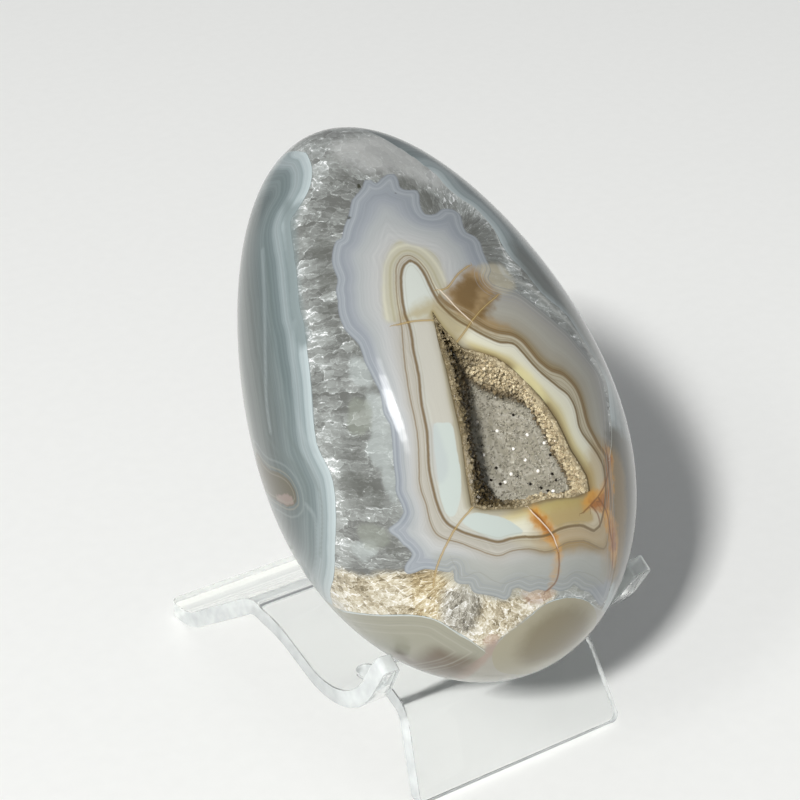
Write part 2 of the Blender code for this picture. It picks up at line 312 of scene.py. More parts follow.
def pocket_cutter():
    mouth, back = pocket_rings(POCKET_DEPTH + CRUST_UNDER)
    back = toward_spine(back, -BACK_CRUST)
    rings = [mouth + (mouth - back) * BREAKTHROUGH]
    rings += [mouth + (back - mouth) * row / POCKET_WALL_ROWS for row in range(POCKET_WALL_ROWS + 1)]
    return loft("pocket_cutter", rings, rings[0].mean(0), back.mean(0))


def evaluated_mesh(item):
    """A new mesh of an object as it looks once its modifiers or its curve are worked out."""
    return bpy.data.meshes.new_from_object(item.evaluated_get(bpy.context.evaluated_depsgraph_get()))


cutter = pocket_cutter()
cut = body.modifiers.new("pocket", "BOOLEAN")
cut.operation = "DIFFERENCE"
cut.solver = "EXACT"
cut.object = cutter
holed = evaluated_mesh(body)
body.modifiers.clear()
body.data = holed
bpy.data.objects.remove(cutter)
print("body with its pocket", len(body.data.polygons), "faces")

# %% [markdown]
# ## The crust of crystals
# Groundwater lined the pocket with a sugary skin of quartz. It is one crust, so it is one closed mesh: a
# smooth outside that fits the hole, a narrow rim level with the polish, and an inside wall pushed about by
# noise. On it stand thousands of small six-sided points, joined into the same object.

# %% Crust
CRUST_GAP = 0.04
RIM_WIDTH = 0.75
RIM_DROP = 0.12
WALL_DROP = 0.18
CRYSTAL_DROP = 0.06
INSIDE_ROWS = 26
BACK_ROWS = 18
OUTSIDE_ROWS = 3
ROWS_TO_RIM = 1.2
WALL_ROUGHNESS = 0.55
BACK_ROUGHNESS = 0.2
WALL_GRAIN = 1.1
ROUND_LUMPS = 0.6
BLOCKY_LUMPS = 0.25
BLOCKS_PER_GRAIN = 1.3
LUMP_HEIGHT = 0.4


def rough(points, inward, amount):
    """Points moved along a direction by a blocky noise, as crystal faces stand proud."""
    moved = []
    for point, way in zip(points, inward):
        place = Vector(point) / WALL_GRAIN
        lump = noise.noise(place) * ROUND_LUMPS + noise.cell(place * BLOCKS_PER_GRAIN) * BLOCKY_LUMPS
        moved.append(np.array(point) + np.array(way) * amount * (lump + LUMP_HEIGHT))
    return np.array(moved)


def under_face(points, drop):
    """Points pulled in so that they lie at least a drop under the polished face."""
    radius = np.hypot(points[:, 0], points[:, 1])
    limit = egg_radius(points[:, 2]) - drop
    scale = np.minimum(1, limit / np.maximum(radius, TINY))
    return np.column_stack([points[:, :2] * scale[:, None], points[:, 2]])


def crust_rings():
    """Rings from the hidden back, up the outside, over the rim and down the rough inside."""
    outer_mouth, outer_back = pocket_rings(POCKET_DEPTH + CRUST_UNDER)
    outer_back = toward_spine(outer_back, -BACK_CRUST + CRUST_GAP)
    outer_mouth = toward_spine(outer_mouth, CRUST_GAP)
    mouth, back = pocket_rings(POCKET_DEPTH)
    inner_mouth = toward_spine(mouth, RIM_WIDTH)
    rings = [outer_back, (outer_back + outer_mouth) / 2, under_face(outer_mouth, RIM_DROP)]
    rise = [0.0, 0.5, 1.0]
    for row in range(INSIDE_ROWS):
        share = (row / (INSIDE_ROWS - 1)) ** ROWS_TO_RIM
        ring = inner_mouth + (back - inner_mouth) * share
        inward = toward_spine(ring, 1.0) - ring
        rings.append(under_face(rough(ring, inward, WALL_ROUGHNESS), WALL_DROP))
        rise.append(1 - share)
    out = np.array(pocket_frame()[1])
    centre = back.mean(0)
    for row in range(1, BACK_ROWS):
        ring = centre + (back - centre) * (1 - row / BACK_ROWS)
        rings.append(rough(ring, [out] * len(ring), BACK_ROUGHNESS))
        rise.append(0.0)
    return rings, rise, outer_back.mean(0), centre + out * BACK_ROUGHNESS * LUMP_HEIGHT


rings, rise, first_point, last_point = crust_rings()
crust = loft("druzy_crust", rings, first_point, last_point)
crust_rise = np.append(np.repeat(rise, len(rings[0])), [0.0, 0.0])
print("crust", len(crust.data.polygons), "faces")

# %% [markdown]
# Each crystal is a six-sided prism with a pointed end, sunk a little into the wall. Growing crystals tilt at
# random and are crowded out by their neighbours, so turn, lean, girth and height are drawn from one seeded
# source. Most are sugar-sized on the back wall and coarser up the sides.

# %% Crystals on the wall
CRYSTAL_COUNT = 7400
CRYSTAL_SEED = 7
CRYSTAL_SIDES = 6
CRYSTAL_POINTS = 2 * CRYSTAL_SIDES + 1
BACK_GIRTH = (0.09, 0.17)
SIDE_GIRTH = (0.11, 0.34)
SIDES_BEGIN = 1 / 3
SMALL_ONES = 3
LENGTH_SHARES = (0.3, 1.2)
TIP_SHARES = (0.7, 1.2)
CRYSTAL_SINK = 0.1
CRYSTAL_LEAN = 0.55
LEAST_UPRIGHT = 0.3
CRYSTAL_SCATTER = 0.15
NO_CRYSTALS_WAY = (0.31, 0.17, 0.93)


def hexagonal_point(girth, length, tip):
    """Points and faces of a closed prism along z with a six-sided point."""
    turn = 2 * pi * np.arange(CRYSTAL_SIDES) / CRYSTAL_SIDES
    ring = np.column_stack([np.cos(turn), np.sin(turn), 0 * turn]) * girth
    points = np.vstack([ring - [0, 0, CRYSTAL_SINK], ring + [0, 0, length], [[0, 0, length + tip]]])
    faces = [tuple(reversed(range(CRYSTAL_SIDES)))]
    for side in range(CRYSTAL_SIDES):
        after = (side + 1) % CRYSTAL_SIDES
        faces.append((side, after, CRYSTAL_SIDES + after, CRYSTAL_SIDES + side))
        faces.append((CRYSTAL_SIDES + side, CRYSTAL_SIDES + after, 2 * CRYSTAL_SIDES))
    return points, faces


def upright_frame(direction, spin):
    """A turn whose z axis points along a direction."""
    direction = direction / np.linalg.norm(direction)
    side = np.cross(direction, NO_CRYSTALS_WAY)
    side /= np.linalg.norm(side)
    across = side * cos(spin) + np.cross(direction, side) * sin(spin)
    return np.column_stack([across, np.cross(direction, across), direction])


def joined_shapes(shapes):
    """Several small shapes as the points and faces of one mesh."""
    faces = [tuple(number * CRYSTAL_POINTS + corner for corner in face)
             for number, (points, skin) in enumerate(shapes) for face in skin]
    return np.vstack([points for points, skin in shapes]), faces


def wall_faces():
    """Centres, normals, areas and rise of the faces inside the pocket, all as arrays."""
    first = (OUTSIDE_ROWS - 1) * len(rings[0])
    rows = [(f.center, f.normal, f.area, crust_rise[f.vertices[0]]) for f in crust.data.polygons
            if min(f.vertices) >= first and f.area > 0]
    return [np.array(column) for column in zip(*rows)]


def crystal_points():
    """Every crystal joined in one mesh, with the rise of the wall where each stands."""
    dice = np.random.default_rng(CRYSTAL_SEED)
    centre, normal, area, risen = wall_faces()
    picks = dice.choice(len(centre), CRYSTAL_COUNT, p=area / area.sum())
    shapes = []
    for pick in picks:
        side = min(1.0, risen[pick] / SIDES_BEGIN)
        low, high = np.array(BACK_GIRTH) * (1 - side) + np.array(SIDE_GIRTH) * side
        girth = low + (high - low) * dice.random() ** SMALL_ONES
        length = girth * dice.uniform(*LENGTH_SHARES)
        shape, skin = hexagonal_point(girth, length, girth * dice.uniform(*TIP_SHARES))
        way = normal[pick] + dice.normal(0, CRYSTAL_LEAN, 3)
        if way @ normal[pick] < LEAST_UPRIGHT:
            way = normal[pick]
        place = centre[pick] + dice.normal(0, CRYSTAL_SCATTER, 3)
        shapes.append((shape @ upright_frame(way, dice.uniform(0, pi)).T + place, skin))
    points, faces = joined_shapes(shapes)
    return under_face(points, CRYSTAL_DROP), faces, np.repeat(risen[picks], CRYSTAL_POINTS)


crystal_shape, crystal_faces, crystal_level = crystal_points()
crystals = mesh_object("druzy_points", crystal_shape, crystal_faces, smooth=False)
print("crystals", CRYSTAL_COUNT, "with", len(crystals.data.polygons), "faces")

# %% [markdown]
# ## The stand
# The real stand was cut flat by laser from 3 mm acrylic, with two slits that free the tongue between the
# hooks, then warmed and bent. The mesh is made in the same order: a flat blank with rounded edges, cut into
# rows, and each row carried along the bent middle line. The rows are 2 degrees apart so that the bends
# carry a clean highlight. A bend is given by its turn and the radius of its middle line.

# %% Stand sizes
SHEET = 3.0
STAND_WIDTH = 52.3
STAND_X = 1.41
STAND_REAR_Y = 41.87
EDGE_ROUND = 0.25
EDGE_STEPS = 2
ROW_ANGLE = radians(2)
ARC_POINTS = 9
REAR_FLAT = 2.1
REAR_BEND = (radians(35.8), 13)
RAMP = 22.2
CREST_BEND = (radians(-37.4), 5.8)
DECK = 5.1
DROOP_BEND = (radians(-13.2), 19.8)
VALLEY = 6.6
DIP_BEND = (radians(17.3), 15.7)
HOOK_BEND = (radians(57.8), 15.7)
HOOK_TIP = 7.2
SHELF_BEND = (radians(-9), 20)
SHELF = 5.8
FOLD_BEND = (radians(-57), 4.0)
SLIT_ROOT_X = 18.7
SLIT_WIDTH = 3.2
SLIT_SLANT = 0.119
TIP_SLANT = 0.76
CORNER = 1.5
TIP_CORNER = 0.9
KERF_SHARE = 0.98
WELD = 0.01
SNAP = 0.001
FLAT_ENOUGH = 0.5
SHARP_EDGE = radians(30)


def bend(turn_and_radius):
    turn, radius = turn_and_radius
    return (abs(turn) * radius, turn)


def along_path(path, distance):
    """Place and heading on the bent middle line after a distance along the flat blank."""
    y, z, heading = STAND_REAR_Y, SHEET / 2, 0.0
    for length, turn in path:
        part = min(distance, length)
        after = heading + turn * part / length
        if turn:
            radius = length / turn
            y -= radius * (sin(after) - sin(heading))
            z += radius * (cos(heading) - cos(after))
        else:
            y -= part * cos(heading)
            z += part * sin(heading)
        heading = after
        distance -= part
        if distance <= 0:
            break
    return y, z, heading


def path_length(path):
    return sum(length for length, turn in path)


def stand_paths():
    """The side view to the slit roots, then on to the hook tips and down the tongue to the floor."""
    shared = [(REAR_FLAT, 0), bend(REAR_BEND), (RAMP, 0), bend(CREST_BEND), (DECK, 0),
              bend(DROOP_BEND), (VALLEY, 0), bend(DIP_BEND)]
    hook = shared + [bend(HOOK_BEND), (HOOK_TIP, 0)]
    tongue = shared + [bend(SHELF_BEND), (SHELF, 0), bend(FOLD_BEND)]
    fold_z, heading = along_path(tongue, path_length(tongue))[1:]
    foot_z = (SHEET / 2 - EDGE_ROUND) * cos(heading)
    tongue.append(((fold_z - foot_z) / sin(-heading), 0))
    return path_length(shared), hook, tongue


def rounded_outline(corners):
    """Corners of (x, y, radius) as a closed outline, with each corner turned into an arc."""
    outline = []
    count = len(corners)
    for index, (x, y, radius) in enumerate(corners):
        corner = Vector((x, y))
        before = (Vector(corners[index - 1][:2]) - corner).normalized()
        after = (Vector(corners[(index + 1) % count][:2]) - corner).normalized()
        half = before.angle(after) / 2
        centre = corner + (before + after).normalized() * radius / sin(half)
        start = corner + before * radius * cos(half) / sin(half) - centre
        end = corner + after * radius * cos(half) / sin(half) - centre
        turn = -start.angle_signed(end) / ARC_POINTS
        outline += [centre + Matrix.Rotation(turn * step, 2) @ start for step in range(ARC_POINTS + 1)]
    return outline


def blank_corners(root, hook_length, tongue_length):
    """The flat blank: x across the stand, y along the sheet from the rear foot."""
    edge = STAND_WIDTH / 2
    outer = SLIT_ROOT_X + SLIT_WIDTH / 2
    inner = SLIT_ROOT_X - SLIT_WIDTH / 2
    tip = hook_length - TIP_SLANT
    kerf = SLIT_WIDTH / 2 * KERF_SHARE
    right = [(edge, 0, CORNER), (edge, hook_length, TIP_CORNER),
             (outer + (tip - root) * SLIT_SLANT, tip, TIP_CORNER), (outer, root, kerf),
             (inner, root, kerf), (inner + (tongue_length - root) * SLIT_SLANT, tongue_length, CORNER)]
    return right + [(-x, y, radius) for x, y, radius in reversed(right)]


def cut_rows(path):
    """Distances along a path at which the sheet changes heading, with bends in small steps."""
    rows = []
    done = 0.0
    for length, turn in path:
        parts = max(1, round(abs(turn) / ROW_ANGLE))
        rows.extend(done + length * part / parts for part in range(parts))
        done += length
    return rows[1:]


# %% Stand mesh
def flat_blank(outline):
    """The outline as a flat sheet with rounded edges, lying around its middle."""
    curve = bpy.data.curves.new("blank", "CURVE")
    curve.dimensions = "2D"
    curve.fill_mode = "BOTH"
    curve.extrude = SHEET / 2 - EDGE_ROUND
    curve.bevel_depth = EDGE_ROUND
    curve.bevel_resolution = EDGE_STEPS
    curve.offset = -EDGE_ROUND
    spline = curve.splines.new("POLY")
    spline.points.add(len(outline) - 1)
    for point, place in zip(spline.points, outline):
        point.co = (place.x, place.y, 0, 1)
    spline.use_cyclic_u = True
    flat = into_scene("blank", curve)
    mesh = evaluated_mesh(flat)
    bpy.data.objects.remove(flat)
    return mesh


def bent_sheet(root, hook, tongue):
    sheet = bmesh.new()
    sheet.from_mesh(flat_blank(rounded_outline(blank_corners(root, path_length(hook), path_length(tongue)))))
    bmesh.ops.remove_doubles(sheet, verts=sheet.verts, dist=WELD)
    sheet.normal_update()
    for face in sheet.faces:
        face.material_index = int(abs(face.normal.z) < FLAT_ENOUGH)
    for row in sorted(set(cut_rows(hook) + cut_rows(tongue))):
        everything = sheet.verts[:] + sheet.edges[:] + sheet.faces[:]
        bmesh.ops.bisect_plane(sheet, geom=everything, plane_co=(0, row, 0), plane_no=(0, 1, 0), dist=SNAP)
    for vertex in sheet.verts:
        across, along, off = vertex.co
        in_hook = along > root and abs(across) > SLIT_ROOT_X + (along - root) * SLIT_SLANT
        y, z, heading = along_path(hook if in_hook else tongue, along)
        vertex.co = (across + STAND_X, y + off * sin(heading), max(0, z + off * cos(heading)))
    bmesh.ops.recalc_face_normals(sheet, faces=sheet.faces)
    mesh = bpy.data.meshes.new("acrylic_sheet")
    sheet.to_mesh(mesh)
    sheet.free()
    mesh.transform(Matrix.Scale(MM, 4))
    mesh.shade_smooth()
    mesh.set_sharp_from_angle(angle=SHARP_EDGE)
    return into_scene("acrylic_stand", mesh)


slit_root, hook_path, tongue_path = stand_paths()
stand = bent_sheet(slit_root, hook_path, tongue_path)
print("stand", len(stand.data.polygons), "faces")
print("flat blank", STAND_WIDTH, "mm wide, hooks", round(path_length(hook_path), 1), "mm and tongue",
      round(path_length(tongue_path), 1), "mm from the rear edge")

# %% [markdown]
# ## The veins of the stone
# Agate grew in layers from the wall of a gas bubble inwards: blue-grey bands first, then a comb of clear
# quartz, then a lilac rim, then milky layers with iron-brown lines, and last the open pocket. A picture
# texture would freeze those veins to one view. Instead each boundary is an outline on the stone, and every
# point of the mesh stores how many millimetres it lies inside it. The shader turns that distance into
# an edge as sharp as wanted. The comb also runs behind the stone, by azimuth in degrees and height in mm.

# %% Outlines of the layers, in picture points
COMB_LEFT = ((333, 606), (330, 592), (334, 575), (335, 545), (336, 520), (335, 496), (332, 478), (326, 464),
             (320, 452), (316, 440), (314, 424), (313, 410), (312, 394), (310, 372), (307, 350), (305, 332),
             (303, 320), (300, 310), (298, 292), (296, 270), (294, 256), (292, 240), (290, 222), (295, 213),
             (303, 201), (309, 189), (312, 176), (311, 163), (306, 152))
COMB_BEHIND = ((-150, 43), (-165, 37), (178, 33), (162, 31))
COMB_RIGHT = ((436, 174), (447, 187), (460, 198), (474, 207), (485, 218), (495, 231), (503, 246),
              (512, 259), (525, 272), (540, 291), (552, 302), (566, 314), (577, 330), (588, 348),
              (599, 366), (607, 384), (610, 410), (612, 440), (614, 476), (617, 520), (617, 560),
              (611, 588), (602, 610))
COMB_FOOT = ((596, 606), (584, 599), (570, 597), (554, 600), (542, 606), (530, 616), (516, 628), (502, 638),
             (494, 646), (486, 651), (470, 640), (450, 628), (434, 619), (410, 615), (378, 615), (358, 613),
             (344, 611))
LILAC = ((365, 180), (362, 188), (358, 193), (352, 200), (350, 210), (348, 218), (345, 225), (343, 232),
         (342, 238), (336, 241), (333, 250), (332, 262), (335, 272), (338, 280), (336, 290), (338, 300),
         (338, 308), (340, 318), (343, 325), (345, 330), (352, 337), (358, 343), (362, 352), (365, 362),
         (370, 372), (375, 382), (380, 392), (382, 402), (384, 414), (390, 424), (392, 436), (393, 450),
         (394, 465), (396, 480), (396, 492), (402, 505), (404, 512), (398, 522), (388, 530), (398, 538),
         (402, 544), (408, 548), (413, 554), (405, 566), (406, 574), (416, 572), (424, 569), (436, 570),
         (450, 572), (454, 568), (455, 582), (464, 584), (470, 584), (473, 592), (482, 594), (494, 596),
         (506, 600), (510, 596), (512, 589), (518, 587), (524, 590), (530, 592), (538, 589), (546, 591),
         (550, 588), (560, 591), (570, 588), (574, 584), (582, 590), (590, 592), (596, 600), (602, 606),
         (610, 588), (615, 560), (615, 520), (612, 480), (610, 450), (609, 425), (607, 404), (603, 384),
         (598, 371), (588, 357), (578, 345), (568, 333), (558, 324), (546, 314), (535, 305), (525, 297),
         (515, 291), (503, 288), (492, 284), (488, 277), (491, 270), (487, 261), (483, 252), (480, 242),
         (475, 236), (466, 232), (462, 222), (460, 214), (452, 209), (442, 209), (436, 214), (425, 214),
         (420, 205), (418, 191), (406, 190), (400, 188), (398, 180), (395, 174), (388, 174), (382, 178),
         (376, 184), (371, 180))
OUTER_LINE = ((402, 330), (403, 345), (405, 365), (408, 385), (411, 402), (415, 420), (418, 440),
              (419, 462), (420, 486), (426, 504), (429, 518), (434, 531), (442, 538), (460, 543),
              (478, 550), (498, 556), (512, 551), (530, 549), (545, 552), (556, 549), (566, 543),
              (584, 541), (596, 546), (604, 549), (608, 540), (610, 520), (611, 496), (609, 474),
              (606, 456), (600, 447), (594, 436), (588, 424), (583, 405), (579, 393), (573, 383),
              (562, 373), (552, 370), (540, 361), (530, 349), (522, 340), (512, 334), (500, 332),
              (488, 328), (478, 322), (466, 314), (450, 306), (440, 297), (433, 284), (427, 271),
              (420, 262), (412, 256), (404, 256), (397, 265), (396, 280), (397, 298), (400, 316))
INNER_LINE = ((409, 324), (412, 338), (413, 348), (416, 362), (419, 378), (421, 400), (424, 416),
              (427, 432), (428, 450), (429, 468), (432, 484), (436, 500), (441, 514), (447, 523),
              (456, 529), (468, 534), (482, 538), (498, 542), (510, 539), (522, 537), (536, 537),
              (548, 535), (560, 529), (572, 526), (584, 526), (594, 531), (600, 526), (604, 510),
              (606, 490), (604, 468), (600, 458), (594, 448), (586, 438), (580, 428), (577, 414),
              (574, 404), (568, 394), (560, 388), (553, 382), (543, 374), (534, 365), (527, 357),
              (520, 349), (513, 343), (500, 342), (490, 338), (480, 333), (470, 327), (458, 320),
              (446, 310), (437, 299), (430, 286), (424, 273), (416, 263), (410, 260), (404, 265),
              (401, 276), (402, 296), (405, 314))

# %% [markdown]
# Smaller things lie inside the layers: stains where iron crept along a crack, clear or milky crystals, and
# the crystal foot of the stone. Each is an outline too, and outlines of one kind share one distance.

# %% Patches, in picture points
PATCHES = {
    "right_veins": [
        ((440, 292), (470, 270), (520, 280), (600, 340), (640, 400), (640, 505), (596, 505), (560, 480),
         (520, 420), (470, 352), (440, 318))],
    # Partly a darker grey band, partly painted shade on the right side, turned from the lamp.
    "shoulder_tone_and_shade": [
        ((512, 240), (530, 256), (550, 278), (575, 308), (596, 338), (614, 378), (600, 366), (588, 347),
         (566, 313), (540, 290), (518, 264))],
    # Partly an olive band, partly painted shade along the right edge, turned from the lamp.
    "olive_margin_and_shade": [
        ((608, 428), (628, 440), (648, 470), (648, 520), (640, 575), (620, 596), (610, 560), (610, 500))],
    "grey_bottom": [
        ((436, 554), (470, 557), (498, 563), (530, 558), (560, 557), (604, 558), (606, 580), (580, 592),
         (540, 592), (500, 600), (460, 588), (440, 574))],
    "teal_by_wall": [
        ((284, 200), (294, 205), (302, 200), (296, 222), (297, 250), (300, 290), (304, 315), (309, 340),
         (300, 348), (292, 330), (288, 300), (284, 250))],
    "arch_core": [
        ((405, 266), (410, 261), (416, 265), (423, 275), (430, 290), (433, 300), (428, 316), (410, 320),
         (405, 310), (403, 290))],
    "cream_halo": [
        ((386, 320), (383, 300), (384, 270), (389, 254), (398, 241), (410, 245), (424, 248), (436, 256),
         (442, 270), (446, 286), (440, 297), (432, 284), (424, 268), (412, 256), (403, 257), (396, 266),
         (396, 285), (400, 318))],
    "golden": [
        ((446, 292), (456, 284), (463, 274), (471, 267), (481, 269), (490, 279), (497, 290), (492, 304),
         (486, 315), (500, 324), (512, 330), (500, 332), (484, 328), (468, 320), (455, 310))],
    "cream_corner": [
        ((476, 267), (488, 264), (502, 266), (513, 278), (512, 290), (500, 293), (490, 284), (482, 275))],
    "smoke": [
        ((451, 293), (459, 283), (466, 276), (476, 278), (483, 284), (479, 296), (474, 312), (465, 311),
         (457, 303)),
        ((496, 294), (492, 306), (486, 316), (476, 322), (474, 317), (482, 305), (489, 298))],
    "ochre": [
        ((400, 320), (408, 312), (428, 300), (444, 302), (458, 312), (470, 324), (462, 336), (452, 342),
         (444, 334), (436, 322), (432, 318))],
    "pale_upright": [
        ((416, 322), (432, 321), (438, 340), (443, 370), (448, 400), (452, 424), (434, 424), (429, 404),
         (424, 380), (419, 350))],
    "white_lens": [
        ((434, 424), (443, 423), (452, 424), (456, 445), (461, 476), (460, 500), (454, 516), (446, 514),
         (440, 494), (437, 470), (434, 445)),
        ((462, 522), (474, 513), (490, 515), (506, 519), (524, 532), (510, 536), (498, 539), (482, 534))],
    "mauve_shade": [((430, 424), (436, 424), (448, 462), (444, 482), (436, 480), (431, 455))],
    "olive": [
        ((536, 510), (552, 502), (584, 499), (590, 508), (594, 520), (584, 524), (568, 524), (556, 528),
         (548, 520))],
    "yellow_green": [
        ((508, 372), (520, 366), (532, 376), (542, 388), (548, 400), (542, 402), (528, 386), (514, 380))],
    "rust": [
        ((583, 508), (586, 497), (594, 491), (602, 486), (607, 474), (608, 462), (604, 450), (609, 448),
         (613, 466), (613, 490), (612, 508), (616, 528), (618, 548), (614, 566), (611, 552), (607, 530),
         (600, 510)),
        ((528, 509), (538, 508), (548, 518), (557, 534), (558, 546), (551, 543), (542, 534), (534, 522)),
        ((556, 546), (561, 547), (561, 562), (556, 580), (550, 590), (553, 570))],
    "deep_rust": [
        ((590, 506), (595, 499), (604, 494), (609, 482), (611, 496), (608, 508), (598, 510)),
        ((534, 514), (541, 515), (551, 528), (556, 540), (549, 537), (540, 526)),
        ((607, 452), (611, 458), (610, 474), (606, 482), (606, 466)),
        ((611, 520), (615, 532), (616, 548), (612, 548), (610, 534))],
    "rust_halo": [
        ((586, 470), (594, 440), (612, 446), (624, 470), (626, 520), (620, 570), (606, 580), (596, 548),
         (560, 552), (540, 548), (532, 520), (560, 508), (580, 500))],
    "warm_side": [
        ((458, 318), (476, 300), (496, 284), (530, 288), (560, 314), (590, 350), (610, 400), (616, 470),
         (610, 545), (560, 556), (520, 545), (500, 520), (560, 480), (540, 420), (500, 372), (470, 350))],
    "smoky_crystals": [
        ((418, 192), (437, 196), (438, 212), (428, 216), (419, 207)),
        ((398, 176), (412, 177), (416, 188), (405, 191), (399, 186)),
        ((466, 214), (482, 222), (494, 234), (502, 252), (500, 270), (492, 272), (484, 252), (478, 240),
         (466, 232)),
        ((318, 268), (334, 270), (339, 280), (332, 292), (320, 290)),
        ((316, 305), (330, 304), (334, 314), (322, 318)),
        ((310, 240), (330, 240), (336, 250), (322, 262), (312, 256)),
        ((352, 344), (363, 344), (366, 358), (356, 361)),
        ((360, 386), (378, 386), (380, 394), (362, 396)),
        ((338, 478), (356, 470), (372, 480), (386, 496), (378, 508), (356, 508), (344, 498)),
        ((384, 532), (398, 538), (403, 552), (392, 556), (382, 544)),
        ((446, 596), (456, 590), (464, 600), (460, 612), (448, 610)),
        ((474, 596), (484, 594), (486, 608), (476, 616)),
        ((456, 584), (466, 582), (472, 590), (462, 596))],
    "pale_crown": [
        ((334, 146), (352, 140), (380, 136), (408, 142), (440, 160), (452, 176), (440, 188), (418, 180),
         (396, 172), (370, 172), (352, 166))],
    "dark_dots": [
        ((357, 184), (359, 183), (361, 185), (361, 187), (359, 189), (357, 187)),
        ((347, 216), (349, 215), (351, 217), (350, 219), (348, 220), (347, 218)),
        ((394, 192), (396, 191), (397, 193), (395, 194))],
    "milky_crystals": [
        ((350, 358), (366, 360), (374, 372), (368, 386), (352, 380)),
        ((366, 394), (384, 398), (390, 428), (394, 460), (380, 470), (366, 452), (372, 430)),
        ((382, 464), (396, 470), (398, 500), (388, 500), (382, 484)),
        ((350, 545), (372, 540), (376, 552), (362, 562))],
    "green_crystals": [
        ((350, 400), (368, 402), (372, 420), (364, 434), (350, 432)),
        ((358, 526), (384, 528), (388, 545), (366, 548))],
    "crystal_foot": [
        ((326, 574), (340, 570), (362, 576), (392, 572), (410, 570), (432, 566), (456, 566), (474, 590),
         (506, 598), (516, 586), (550, 586), (556, 598), (530, 618), (500, 642), (488, 656), (470, 644),
         (434, 624), (380, 620), (340, 618))],
    "golden_foot": [((410, 576), (432, 570), (452, 574), (448, 590), (444, 612), (436, 620), (414, 616))],
    "grey_foot": [((442, 592), (460, 588), (478, 594), (482, 606), (474, 630), (462, 634), (444, 624))],
    "pink_foot": [
        ((522, 590), (534, 586), (546, 588), (556, 586), (554, 596), (538, 604), (526, 602)),
        ((484, 640), (494, 634), (500, 640), (490, 652))],
    "lens": [
        ((322, 600), (344, 612), (378, 616), (410, 616), (434, 620), (450, 629), (470, 641), (486, 652),
         (470, 664), (452, 671), (424, 674), (380, 670), (340, 640))],
    # Darker brown at the bottom of the lens.
    "lens_dark_bottom": [
        ((384, 662), (400, 652), (412, 660), (436, 648), (456, 656), (474, 660), (462, 676), (440, 684),
         (412, 682), (392, 672))],
    "under_foot": [
        ((404, 668), (440, 664), (470, 652), (486, 646), (500, 640), (540, 612), (596, 606), (604, 622),
         (590, 660), (560, 690), (500, 704), (440, 700), (406, 686))],
    "rosy_foot": [
        ((452, 676), (470, 664), (482, 652), (494, 640), (500, 642), (494, 654), (480, 668), (462, 680))],
    "oval": [
        ((497, 645), (505, 636), (516, 628), (530, 617), (542, 607), (554, 601), (570, 598), (584, 600),
         (593, 606), (597, 618), (592, 634), (580, 648), (556, 664), (528, 674), (500, 672), (492, 658))],
    "oval_heart": [
        ((518, 652), (530, 630), (552, 612), (574, 606), (588, 614), (588, 630), (574, 646), (548, 660),
         (526, 664))],
    "pocket_mark": [
        ((256, 452), (262, 462), (270, 470), (280, 474), (288, 480), (294, 490), (296, 502), (288, 506),
         (276, 500), (268, 494), (258, 476))],
    "pocket_pink": [((276, 496), (284, 494), (292, 498), (294, 505), (284, 505), (277, 501))],
}

# %% Lines, in picture points
THIN_LINES = {
    "gold_crack": [
        ((472, 508), (457, 526), (450, 538), (442, 554), (436, 570), (433, 586)),
        ((497, 296), (485, 306), (474, 318), (466, 330), (457, 342)),
        ((440, 290), (448, 287), (458, 274), (468, 266)),
        ((396, 325), (414, 321), (431, 320))],
    "rust_line": [
        ((606, 448), (609, 466), (606, 482), (600, 494), (592, 504), (584, 512)),
        ((600, 500), (607, 512), (610, 530), (613, 548), (613, 566)),
        ((592, 506), (598, 514), (600, 522)),
        ((532, 510), (540, 518), (549, 530), (556, 543), (559, 556), (559, 570), (556, 582), (547, 591))],
    "bright_crack": [
        ((440, 290), (447, 297), (457, 308), (470, 320)),
        ((530, 510), (540, 520), (552, 534), (557, 546))],
    "white_seam": [
        (*COMB_RIGHT[:6], (501, 246), (508, 260), (516, 268)),
        ((344, 612), (358, 614), (378, 616), (396, 616), (410, 616), (422, 617), (434, 620), (442, 624),
         (450, 629), (460, 636), (470, 641), (484, 651)),
        ((611, 420), (612, 440), (610, 456))],
    "lens_stripe": [((340, 620), (370, 625), (404, 624), (430, 629))],
    "foot_vein": [
        ((452, 560), (462, 577), (478, 572), (496, 582), (508, 583), (530, 576), (548, 580)),
        ((566, 578), (576, 572), (592, 575), (604, 584))],
}
WIDE_LINES = {
    "sparkle_ridge": [
        ((500, 266), (506, 276), (516, 280), (530, 287), (544, 299), (556, 311), (568, 322), (578, 334),
         (588, 350), (598, 367))],
    "teal_band": [
        ((258, 300), (258, 340), (259, 380), (261, 412), (267, 436), (279, 453), (292, 465), (300, 480),
         (303, 498), (300, 522)),
        ((266, 262), (270, 300), (272, 340), (272, 390), (275, 430), (283, 454), (298, 468), (306, 486),
         (308, 510)),
        ((281, 400), (286, 430), (298, 452), (310, 470), (319, 492), (322, 520), (320, 556))],
    "pale_band": [
        ((294, 322), (293, 350), (293, 380), (296, 410), (300, 428), (306, 440), (314, 452)),
        ((262, 250), (264, 300), (265, 350), (266, 400), (270, 432)),
        ((306, 505), (315, 520), (316, 560), (308, 590))],
}

# %% [markdown]
# Whether a point lies inside an outline is settled on a flat chart around the middle of the face. A thin
# line is stored with a sign for its two sides: the value then runs straight through nought across the line,
# where a plain distance would be cut off between two points of the mesh.

# %% Millimetres inside each outline
EGG_AXES = np.array([EGG_RADIUS, EGG_RADIUS, EGG_LENGTH / 2])
FRONT = np.array(face_point(radians(-25), -5.0))
NEAR = 5.0


